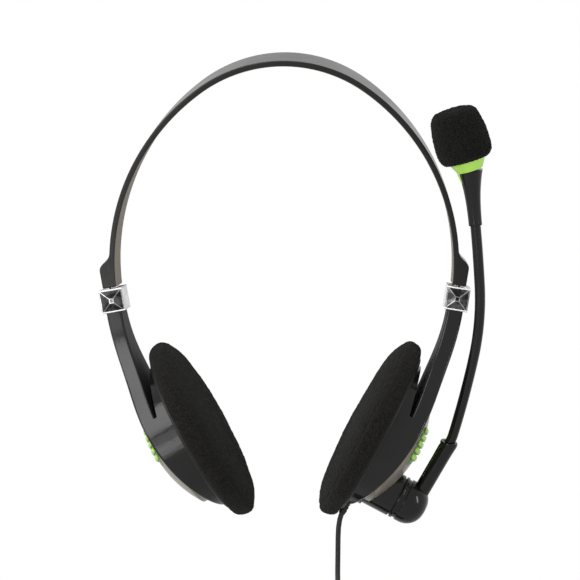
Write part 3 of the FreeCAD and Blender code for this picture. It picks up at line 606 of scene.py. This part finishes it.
def make_floor():
    """Pale floor under the plug that fades to the white of the studio."""
    bpy.ops.object.select_all(action="DESELECT")
    bpy.ops.mesh.primitive_plane_add(size=12, location=(0, 0, 0))
    floor = bpy.context.active_object
    floor.name = "floor"
    under_plug, fade_from, fade_to = CAD_LOW.z - 0.0004, 0.16, 0.46
    floor.data.transform(at(0, 0, under_plug))
    f = Finish("floor_paper", Roughness=0.9, Specular_IOR_Level=0.2)
    grain = f.noise(60, 2)
    f.surface(Base_Color=f.mix(grain, (0.80, 0.80, 0.80), (0.84, 0.84, 0.84)))
    glow = f.tree.nodes.new("ShaderNodeEmission")
    glow.inputs["Strength"].default_value = 1.0
    share = f.add("ShaderNodeMapRange", {"interpolation_type": "SMOOTHSTEP"}, {
        "Value": f.vector("LENGTH", f.place, output="Value"), "From Min": fade_from, "From Max": fade_to})
    both = f.tree.nodes.new("ShaderNodeMixShader")
    f.feed(both.inputs[0], share)
    f.tree.links.new(f.shader.outputs[0], both.inputs[1])
    f.tree.links.new(glow.outputs[0], both.inputs[2])
    f.tree.links.new(both.outputs[0], f.tree.nodes["Material Output"].inputs[0])
    floor.data.materials.append(f.material)


def make_lamp(name, place, aim, size, power):
    """Rectangular lamp, in metres and watts, that faces its aim."""
    data = bpy.data.lights.new(name, "AREA")
    data.shape, data.energy = "RECTANGLE", power
    data.size, data.size_y = size
    lamp = bpy.data.objects.new(name, data)
    bpy.context.scene.collection.objects.link(lamp)
    way = (Vector(aim) - Vector(place)).to_track_quat("-Z", "Y")
    lamp.matrix_world = Matrix.Translation(place) @ way.to_matrix().to_4x4()


make_camera()
make_world()
make_floor()
make_lamp("front_panel", (-0.42, -1.10, 0.16), (-0.02, 0, 0.03), (0.34, 0.34), 1.0)
make_lamp("left_window", (-0.41, -0.51, 0.44), (-0.055, 0, 0.02), (0.36, 0.44), 3.2)
make_lamp("low_left_panel", (-0.135, -0.46, -0.03), (-0.058, 0, 0.0), (0.12, 0.12), 0.26)
make_lamp("top_softbox", (-0.10, -0.30, 0.90), (0, 0, 0.05), (0.36, 0.36), 2.6)
make_lamp("left_strip", (-0.80, -0.40, 0.20), (0, 0, 0.05), (0.07, 0.50), 2.2)
make_lamp("right_strip", (0.78, -0.50, 0.20), (0, 0, 0.05), (0.07, 0.50), 2.2)


# ---------------------------------------------------------------- cord
# The tied coil is a bundle of turns in layers and rows. Each turn starts at an angle round the
# ring and moves over to the next turn's place within a part of its round.
CORD_DIAMETER = 2.0
COIL_RADIUS, COIL_PITCH, COIL_LAYERS, COIL_ROWS, TURN_POINTS = 11.8, 2.1, 6, 4, 20
TURN_START, SHIFT_START, SHIFT_SPAN = 50.0, 30.0, 50.0
RELIEF_OFFSET, RELIEF_HEIGHT, RELIEF_LENGTH, RELIEF_LEAN = 5.9, -28.5, 5.0, 24.0
COIL_SHIFT, CORD_DROP = -6.0, -48.0
relief_frame = cup_frame @ at(RELIEF_OFFSET, 0, RELIEF_HEIGHT) @ tilt(RELIEF_LEAN - CUP_TILT)
cord_start = relief_frame @ Vector((0, 0, -RELIEF_LENGTH))
coil_centre = cord_start + Vector((COIL_SHIFT, 0, CORD_DROP))


def coil_place(angle, out, across):
    """Point beside the coil's ring, at an angle from +X towards +Z."""
    a = radians(angle)
    return coil_centre + Vector((cos(a), 0, sin(a))) * (COIL_RADIUS + out) + Vector((0, across, 0))


def coil_slot(number):
    """Place of a turn in the bundle, (out, across), layer by layer from front to back, to and fro."""
    layer, row = divmod(number, COIL_ROWS)
    if layer % 2:
        row = COIL_ROWS - 1 - row
    return (COIL_ROWS / 2 - 0.5 - row) * COIL_PITCH, (layer - COIL_LAYERS / 2 + 0.5) * COIL_PITCH


def shift_share(number, passed):
    """How far a turn has moved to its neighbour's place, after so many degrees of its round."""
    layer, row = divmod(number, COIL_ROWS)
    wait = COIL_LAYERS - 1 - layer - (0.5 if row == COIL_ROWS - 1 else 0.0)
    t = min(1.0, max(0.0, (passed - SHIFT_START) / SHIFT_SPAN - wait))
    return t * t * (3 - 2 * t)


def coil_turns():
    """Control points of all the turns; each lies a little wide, because the curve cuts corners."""
    turns = COIL_LAYERS * COIL_ROWS
    widen = 1 / (0.75 + 0.25 * cos(2 * pi / TURN_POINTS))

    def control(angle, out, across):
        return coil_place(angle, (COIL_RADIUS + out) * widen - COIL_RADIUS, across)

    points = []
    for number in range(turns):
        here, after = coil_slot(number), coil_slot(min(number + 1, turns - 1))
        for i in range(TURN_POINTS):
            passed = 360.0 * i / TURN_POINTS
            share = shift_share(number, passed) if number + 1 < turns else 0.0
            out, across = (a + (b - a) * share for a, b in zip(here, after))
            points.append(control(TURN_START - passed, out, across))
    points.append(control(TURN_START, *here))
    return points


def cord_points():
    """The cord hangs from its strain relief, runs round the coil and ends in a tail at the plug."""
    hung = [cord_start, cord_start + lean(RELIEF_LEAN) * -3.2] + [cord_start + Vector(step) for step in (
        (-1.5, 0.4, -15), (-1.7, 0.3, -24))]
    led_in = [coil_centre + Vector(step) for step in ((4.6, -2.6, 19.2), (7.6, -4.6, 16.4))]
    led_out = [coil_centre + Vector(step) for step in (
        (14.6, 5.4, 6.6), (16.9, 5.3, 0.4), (16.6, 5.0, -7.0), (13.8, 3.2, -14.5))]
    tail = [coil_centre + Vector((COIL_RADIUS, 0, 0)) + Vector(step) for step in (
        (-1.3, 0.4, -21), (-1.1, 0, -32))]
    return hung + led_in + coil_turns() + led_out + tail


def make_cord():
    """Smooth curve of round section along the cord's points."""
    points = cord_points()
    data = bpy.data.curves.new("cord_run", "CURVE")
    data.dimensions, data.resolution_u, data.bevel_resolution = "3D", 3, 3
    data.bevel_depth = CORD_DIAMETER / 2 * MM
    data.use_fill_caps = True
    spline = data.splines.new("NURBS")
    spline.points.add(len(points) - 1)
    for point, place in zip(spline.points, points):
        point.co = (*(place * MM), 1)
    spline.order_u = 3
    spline.use_endpoint_u = True
    cord = bpy.data.objects.new("cord_run", data)
    bpy.context.scene.collection.objects.link(cord)
    dressed(cord, VINYL, "cord_jacket", "right_arm", "cord", "cord_coil", "cord_tail")
    return cord


# ---------------------------------------------------------------- headband and its sliders
def arch(angle, off):
    """Point of the band's arch at an angle from the top, off its middle line."""
    if angle <= CROWN_HALF:
        return CROWN_CENTRE + lean(angle) * (CROWN_RADIUS + off)
    return SIDE_CENTRE + lean(angle) * (SIDE_RADIUS + off)


def band_stations(crown_steps=16, side_steps=26, ramp_steps=9, ramp_pull=3.1):
    """Pairs of outer and inner points from the top of the band down to the shoulder's foot. The
    outer side runs out over a ramp to the shoulder's corner, the inner side stays on the arch."""
    ramp_height = SHOULDER_HEIGHT + SHOULDER_DEPTH + SHOULDER_RAMP
    ramp_top = degrees(acos((ramp_height - SIDE_CENTRE.z) / SIDE_RADIUS))
    drop = (slide_frame.translation - SIDE_CENTRE).dot(lean(SLIDE_TILT))
    foot_angle = SLIDE_TILT + degrees(acos(drop / (SIDE_RADIUS - BAND_HALF)))
    angles = [CROWN_HALF * i / crown_steps for i in range(crown_steps + 1)]
    angles += [CROWN_HALF + (ramp_top - CROWN_HALF) * i / side_steps for i in range(1, side_steps + 1)]
    stations = [(arch(a, BAND_HALF), arch(a, -BAND_HALF)) for a in angles]
    start = stations[-1][0]
    corner = slide_frame @ Vector((SHOULDER_OUT, 0, SHOULDER_DEPTH))
    foot = slide_frame @ Vector((SHOULDER_OUT, 0, 0))
    poles = (start, start - lean(ramp_top - 90) * ramp_pull, corner + lean(SLIDE_TILT) * ramp_pull, corner)
    outer = [Vector((x, 0, z)) for x, z in bezier(*[(p.x, p.z) for p in poles], ramp_steps)]
    outer += [corner.lerp(foot, t) for t in (0.35, 0.7, 1.0)]
    for i, point in enumerate(outer, 1):
        stations.append((point, arch(ramp_top + (foot_angle - ramp_top) * i / len(outer), -BAND_HALF)))
    return stations


def near(*points):
    """Test for vertices that stand on one of these points, seen from the front."""
    return lambda place, normal: any(abs(place.x - p.x) + abs(place.z - p.z) < 0.01 for p in points)


def make_headband():
    """Half the band is drawn station by station and mirrored, and its front half hangs lower."""
    stations = band_stations()
    bpy.ops.object.select_all(action="DESELECT")
    bpy.ops.mesh.primitive_plane_add(size=1)
    band = started("headband_shape")
    bpy.ops.transform.rotate(value=pi / 2, orient_axis="Y", center_override=(0, 0, 0))
    grow(1, BAND_WIDTH, 2 * BAND_HALF, (0, 0, 0))
    shift(z=CROWN_HEIGHT)
    for (outer, inner), (next_outer, next_inner) in zip(stations, stations[1:]):
        step = next_outer - outer
        extrude(*step)
        pick(band, near(inner + step))
        shift(*(next_inner - inner - step))
        pick(band, near(next_outer, next_inner))
    pick(band, lambda place, normal: abs(place.x) < 0.01, "faces")
    bpy.ops.mesh.delete(type="FACE")
    mode("OBJECT")
    modified(band, "MIRROR", merge_threshold=0.001)
    mode("EDIT")
    outward()
    rise = BAND_CANT / 2 / (CROWN_HEIGHT - SHOULDER_HEIGHT)
    for side in (1, -1):
        pick(band, lambda place, normal: place.y * side > 0)
        grow(1, 1, 1 + side * rise, (0, 0, SHOULDER_HEIGHT))
    mode("OBJECT")
    modified(band, "BEVEL", width=0.45, segments=3, limit_method="ANGLE", angle_limit=radians(50))
    placed(band)
    smooth(band, 40)
    dressed(band, BAND, "gloss_black", "headband", "headband")


def collar_rim(name, height, recessed):
    """Thin rounded plate at an end of the collar; the recessed one is let in round the strip."""
    rim = block(name, COLLAR_RIM, (0, 0, height))
    if recessed:
        pick(rim, lambda place, normal: normal.z > 0.9, "faces")
        bpy.ops.mesh.inset(thickness=RIM_SLOT_EDGE)
        extrude(z=-RIM_SLOT_DEPTH)
    mode("OBJECT")
    modified(rim, "BEVEL", width=0.28, segments=4, limit_method="ANGLE", angle_limit=radians(40))
    return rim


def make_collar(side):
    """Plated collar: a block whose front and back rise in four facets, between two thin rims.
    The facets get the darker copy of the plating, a painted dark reflection; the rest is bright."""
    centre = (0, 0, COLLAR_CENTRE)
    body = block("collar_body", COLLAR_BLOCK, centre)
    pick(body, lambda place, normal: abs(normal.y) > 0.9, "faces")
    bpy.ops.mesh.inset(thickness=0.35, use_individual=True)
    for way in (1, -1):
        pick(body, lambda place, normal: normal.y * way > 0.9 and abs(place.x) < 0.1
             and abs(place.z - COLLAR_CENTRE) < 0.1, "faces")
        extrude(y=FACET_RISE * way)
        grow(FACET_TOP, 1, FACET_TOP, centre)
    mode("OBJECT")
    # painted reflection: facets facing front and back take the darker copy of the plating
    for finish in (CHROME, DARK_REFLECTION_CHROME):
        body.data.materials.append(finish)
    for facet in body.data.polygons:
        facet.material_index = int(abs(facet.normal.y) > 0.2)
    modified(body, "BEVEL", width=0.5, segments=4, limit_method="ANGLE", angle_limit=radians(8), material=0)
    low_rim = collar_rim("low_rim", LOW_RIM_HEIGHT, False)
    high_rim = collar_rim("high_rim", HIGH_RIM_HEIGHT, True)
    collar = joined(side + "_collar_shape", body, low_rim, high_rim)
    placed(collar, MIRROR[side], slide_frame)
    smooth(collar, 35)
    dressed(collar, None, "plated", BODY_OF[side], side + "_collar")


# ---------------------------------------------------------------- cups
def roughened(obj, size, depth):
    """Presses open pores and slow unevenness into foam."""
    for kind, scale, strength in (("CLOUDS", 13.0, 0.8), ("VORONOI", size, depth),
                                  ("CLOUDS", size * 0.5, depth * 0.6)):
        texture = bpy.data.textures.new(obj.name + "_" + kind.lower(), kind)
        texture.noise_scale = scale
        modified(obj, "DISPLACE", texture=texture, strength=strength, mid_level=0.5)


def make_ear_pad(side):
    """Domed foam disc with a shallow groove round its rim and a rolled-in edge behind."""
    rings = [(31.9, -2.0), (31.9, -3.2), (32.1, -3.9), (33.2, -4.1), (34.4, -3.8), (35.2, -2.8),
             (35.6, -1.4), (PAD_RADIUS, 0.0)]
    rings += [(35.6, 1.1), (35.1, 2.0), (34.4, 2.45), (33.85, 2.5), (33.6, 2.8), (33.0, 3.35)]
    rings += bezier((PAD_RADIUS, 0.0), (PAD_RADIUS, 5.3), (21.4, PAD_CROWN), (0.8, PAD_CROWN), 14)[4:]
    pad = turned(side + "_ear_pad_foam", rings, 128)
    modified(pad, "SUBSURF", levels=2, render_levels=2)
    if side == "left":  # so that its pores aren't a mirror image of the right pad's
        pad.data.transform(tilt(70, "Z"))
    roughened(pad, 0.9, 0.3)
    placed(pad, MIRROR[side], cup_frame, tilt(-90))
    smooth(pad, 180, False)
    dressed(pad, PAD_FOAM, "foam", BODY_OF[side], side + "_ear_pad")


def make_accent(side):
    """Inlay of the dome cap with rounded ribs, each spun along the dome from front to back."""
    smooth_copy(side + "_accent_ribs", RIB_LIME[side], "lime", BODY_OF[side])
    ribs = []
    for i in range(RIB_COUNT):
        height = RIB_LOW + RIB_PITCH * (i + 0.5)
        round_dome = sqrt(DOME_RADIUS ** 2 - height ** 2)
        reach = degrees((sqrt(ACCENT_RADIUS ** 2 - height ** 2) - RIB_MARGIN) / round_dome)
        bpy.ops.object.select_all(action="DESELECT")
        bpy.ops.mesh.primitive_circle_add(vertices=20, radius=RIB_RADIUS, fill_type="NGON")
        rib = started("rib")
        bpy.ops.transform.rotate(value=pi / 2, orient_axis="X", center_override=(0, 0, 0))
        shift(x=round_dome - RIB_SUNK)
        bpy.ops.mesh.spin(steps=24, angle=radians(2 * reach), center=(0, 0, 0), axis=(0, 0, 1))
        outward()
        mode("OBJECT")
        modified(rib, "BEVEL", width=0.4, segments=4, limit_method="ANGLE", angle_limit=radians(60))
        rib.data.transform(tilt(-RIB_SLANT, "X") @ at(0, 0, height) @ tilt(reach, "Z"))
        placed(rib, MIRROR[side], cup_frame, at(DOME_CENTRE))
        smooth(rib, 40, False)
        ribs.append(rib)
    bars = joined(side + "_accent_bars", *ribs)
    dressed(bars, RIB_LIME[side], "lime", BODY_OF[side])


def make_cup(side):
    """One side of the headset below the band, with the strip that its arm slides on."""
    body = BODY_OF[side]
    smooth_copy(side + "_arm_shell", ARM_BLACK[side], "gloss_black", body, 12)
    smooth_copy(side + "_dome_cap", TAUPE, "taupe", body)
    make_accent(side)
    smooth_copy(side + "_driver_plate", MATTE, "matte_black", body)
    smooth_copy(side + "_slider_strip", STRIP_STEEL, "spring_steel", "headband")
    make_ear_pad(side)
    make_collar(side)


# ---------------------------------------------------------------- boom
def make_knob():
    """Drum on the pivot with a groove round it and a rounded end."""
    rings = [(7.9, KNOB_SEAT), (8.15, 21.75), (KNOB_RADIUS, 21.95), (KNOB_RADIUS, 22.55), (8.1, 22.75),
             (7.7, 22.85), (7.7, 23.9), (8.1, 24.0), (KNOB_RADIUS, 24.2), (KNOB_RADIUS, KNOB_ROUND_START)]
    rings += [(KNOB_RADIUS - KNOB_ROUND * (1 - cos(a)), KNOB_ROUND_START + KNOB_ROUND * sin(a))
              for a in map(radians, range(8, 90, 8))]
    rings += [(0.5, KNOB_ROUND_START + KNOB_ROUND)]
    knob = turned("boom_knob_shape", rings)
    placed(knob, boom_frame, ALONG_X)
    smooth(knob, 40)
    dressed(knob, BOOM, "gloss_black", "boom", "boom_knob")


def make_sleeve():
    """Sleeve with a flared, slanted mouth and a channel down its side."""
    def in_channel(place, normal):
        return (-3.2 < place.x < -2.2 and place.y < 0.8 and 12.5 < place.z < 25.5
                and abs(normal.z) < 0.3)

    rings = [(SLEEVE_RADIUS, 4.5), (SLEEVE_RADIUS, 12.0), (SLEEVE_RADIUS, 20.0), (3.05, 24.0), (3.2, 26.6),
             (3.25, 27.6), (3.1, SLEEVE_END), (2.1, SLEEVE_END), (1.8, 27.6), (1.8, 22.0)]
    sleeve = turned("boom_sleeve_shape", rings, 48)
    mode("EDIT")
    pick(sleeve, in_channel, "faces")
    bpy.ops.mesh.inset(thickness=0.25, depth=-0.5)
    pick(sleeve, lambda place, normal: place.z > 26)
    bpy.ops.transform.rotate(value=radians(16), orient_axis="Y", center_override=(0, 0, 27.0))
    mode("OBJECT")
    placed(sleeve, boom_frame, sleeve_frame)
    smooth(sleeve, 40)
    dressed(sleeve, BOOM, "gloss_black", "boom", "boom_sleeve")


def pipe(name, points, radius):
    """Round tube along the points, made a mesh."""
    data = bpy.data.curves.new(name, "CURVE")
    data.dimensions, data.bevel_depth, data.bevel_resolution = "3D", radius, 6
    data.use_fill_caps = True
    spline = data.splines.new("POLY")
    spline.points.add(len(points) - 1)
    for point, place in zip(spline.points, points):
        point.co = (*place, 1)
    obj = bpy.data.objects.new(name, data)
    bpy.context.scene.collection.objects.link(obj)
    only(obj)
    bpy.ops.object.convert(target="MESH")
    return bpy.context.active_object


def make_neck():
    """Flexible neck from inside the sleeve to the foot of the microphone."""
    neck = pipe("boom_neck_shape", [point for point, heading in NECK], NECK_RADIUS)
    placed(neck, boom_frame)
    smooth(neck, 60, False)
    dressed(neck, BOOM, "gloss_black", "boom", "boom_neck")


def make_mic():
    """Horn-shaped microphone body, and the lime ring at its head with a tab down one side."""
    rings = [(2.0, -1.6), (2.35, -1.5), (2.45, -1.25), (2.42, -0.6)]
    rings += bezier((2.42, -0.6), (2.5, 7.5), (3.0, 12.5), (4.5, MIC_LENGTH), 18)
    body = turned("mic_body_shape", rings, 72)
    placed(body, mic_frame)
    smooth(body, 35)
    dressed(body, BOOM, "gloss_black", "boom", "mic_body")

    rings = [(3.6, 0.0), (4.5, 0.0), (4.7, 0.12), (6.55, 3.45), (6.6, 3.7), (6.4, 3.85), (3.6, 3.85),
             (3.6, 0.0)]
    hoop = turned("mic_ring_hoop", rings, 72, hoop=True)
    rings = [(3.5, -3.6), (4.45, -3.6), (4.95, 0.3), (3.5, 0.3), (3.5, -3.6)]
    tab = turned("mic_ring_tab", rings, 72, hoop=True)
    mode("EDIT")
    for way, cut in (((0, 1, 0), TAB_HALF), ((0, -1, 0), TAB_HALF), ((1, 0, 0), 0)):
        bpy.ops.mesh.select_all(action="SELECT")
        bpy.ops.mesh.bisect(plane_co=Vector(way) * cut, plane_no=way, clear_outer=True, use_fill=True)
    mode("OBJECT")
    modified(tab, "BEVEL", width=0.2, segments=3, limit_method="ANGLE", angle_limit=radians(40))
    ring = joined("mic_ring_shape", hoop, tab)
    placed(ring, head_frame)
    smooth(ring, 35)
    dressed(ring, LIME, "lime", "boom", "mic_ring")


def make_windscreen():
    """Foam cap over the microphone, a little narrower towards its rounded top."""
    rings = [(4.4, 4.2), (5.6, 3.8), (7.0, 3.7)]
    rings += bezier((7.0, 3.7), (9.6, 3.7), (10.1, 6.2), (10.1, 9.6), 6)
    rings += bezier((10.1, 9.6), (10.1, 14.2), (9.4, 17.2), (8.7, 19.8), 6)
    rings += bezier((8.7, 19.8), (8.0, 22.7), (5.6, 23.0), (0.5, 23.0), 8)
    foam_cap = turned("windscreen_foam_cap", rings, 72)
    modified(foam_cap, "SUBSURF", levels=2, render_levels=2)
    roughened(foam_cap, 0.95, 0.5)
    placed(foam_cap, head_frame)
    smooth(foam_cap, 180, False)
    dressed(foam_cap, MIC_FOAM, "foam", "boom", "windscreen")


# ---------------------------------------------------------------- plug, tie and strain relief
def make_plug():
    """Plug at the end of the cord: ribbed relief, grooved grip, and jack with three insulators."""
    before, top = cord_points()[-2:]
    turn = Vector((0, 0, 1)).rotation_difference(top - before)
    plug_frame = Matrix.Translation(top) @ turn.to_matrix().to_4x4()
    relief_end, grip_radius, grip_end, jack_radius = 9.0, 4.0, 29.0, 1.75
    rings = [(1.15, 0.0), (1.4, 0.25)]
    for i in range(4):
        rib = 1.4 + 0.1 * i
        low = 0.9 + 2.0 * i
        rings += [(rib, low), (rib + 0.12, low + 0.25), (rib + 0.2, low + 1.1), (rib, low + 1.35)]
    rings += [(2.0, relief_end)]
    relief = turned("plug_relief_shape", rings, 48)
    rings = [(2.2, relief_end)]
    rings += bezier((2.3, relief_end), (grip_radius, 9.5), (grip_radius, 12.0), (grip_radius, 15.0), 7)
    for i in range(4):
        low, groove = 16.0 + 2.2 * i, grip_radius - 0.25
        rings += [(grip_radius, low), (groove, low + 0.2), (groove, low + 0.9), (grip_radius, low + 1.1)]
    rings += [(grip_radius, 28.3), (3.85, 28.75), (3.4, grip_end)]
    grip = turned("plug_body_shape", rings, 64)
    rings = [(jack_radius, grip_end), (jack_radius, 39.6), (1.72, 40.1), (1.3, 40.7), (1.45, 41.0),
             (1.68, 41.5), (1.2, 42.4), (0.55, 43.0)]
    jack = turned("plug_jack_shape", rings, 48)
    bands = [turned("insulator", [(1.60, low), (1.77, low + 0.02), (1.77, low + 0.68), (1.60, low + 0.7)], 48)
             for low in (33.2, 36.0, 38.8)]
    insulators = joined("plug_jack_insulators", *bands)
    pieces = []
    for obj, finish, slot, *node in ((relief, VINYL, "cord_jacket", "plug_relief"),
                                     (grip, MATTE, "matte_black", "plug_body"),
                                     (jack, PLATED, "plated", "plug_jack"),
                                     (insulators, MATTE, "matte_black")):
        placed(obj, plug_frame)
        smooth(obj, 35)
        pieces.append(dressed(obj, finish, slot, "right_arm", *node))
    return pieces


def make_tie():
    """Strap drawn round the bundle at the top of the coil, its end lapped over."""
    tall, wide, thick = COIL_PITCH * COIL_ROWS + 0.3, COIL_PITCH * COIL_LAYERS + 0.3, 0.6
    strap = block("tie_strap", (3.4, wide, tall))
    pick(strap, lambda place, normal: abs(normal.x) > 0.9, "faces")
    bpy.ops.mesh.delete(type="FACE")
    mode("OBJECT")
    modified(strap, "BEVEL", width=1.2, segments=6, limit_method="ANGLE", angle_limit=radians(40))
    modified(strap, "SOLIDIFY", thickness=thick, offset=1.0)
    lap = block("tie_lap", (3.0, 6.5, thick), (0, -1.0, tall / 2 + 0.85))
    mode("OBJECT")
    strap = joined("cord_tie_strap", strap, lap)
    modified(strap, "BEVEL", width=0.15, segments=2, limit_method="ANGLE", angle_limit=radians(50))
    placed(strap, Matrix.Translation(coil_place(90, 0, 0)))
    smooth(strap, 40)
    return dressed(strap, VINYL, "cord_jacket", "right_arm", "cord_tie")


def make_relief():
    """Ribbed strain relief where the cord leaves the right cup."""
    rings = [(1.6, 3.0), (1.6, 0.1)]
    for i in range(3):
        low, rib = -0.5 - 1.4 * i, 1.62 - 0.08 * i
        rings += [(rib, low), (rib, low - 0.7), (rib - 0.22, low - 0.85), (rib - 0.22, low - 1.25)]
    rings += [(1.28, -4.85), (1.15, -RELIEF_LENGTH)]
    relief = turned("cord_relief_shape", rings, 40)
    placed(relief, relief_frame)
    smooth(relief, 35)
    dressed(relief, VINYL, "cord_jacket", "right_arm", "cord_relief")


# ---------------------------------------------------------------- assembly
cord = make_cord()
make_headband()
for side in SIDES:
    make_cup(side)
make_knob()
make_sleeve()
make_neck()
make_mic()
make_windscreen()
make_relief()
plug_pieces = make_plug()
tie = make_tie()

# what stays as the CAD has it is behind other pieces or plain, and only gets its finish
PLAIN = {"boom_pivot_pin": SCREW_STEEL, "boom_pin_clip": STRIP_STEEL, "friction_washer": MATTE,
         "mic_cage": MATTE, "mic_capsule": PLATED}
for side in SIDES:
    PLAIN |= {side + "_driver_frame": SCREW_STEEL, side + "_diaphragm": FILM,
              side + "_driver_magnet": PLATED, side + "_plate_screws": SCREW_STEEL,
              side + "_detent_spring": STRIP_STEEL}
for node, finish in PLAIN.items():
    NODES[node].data.materials.clear()
    NODES[node].data.materials.append(finish)

bpy.context.scene.view_settings.view_transform = "Standard"
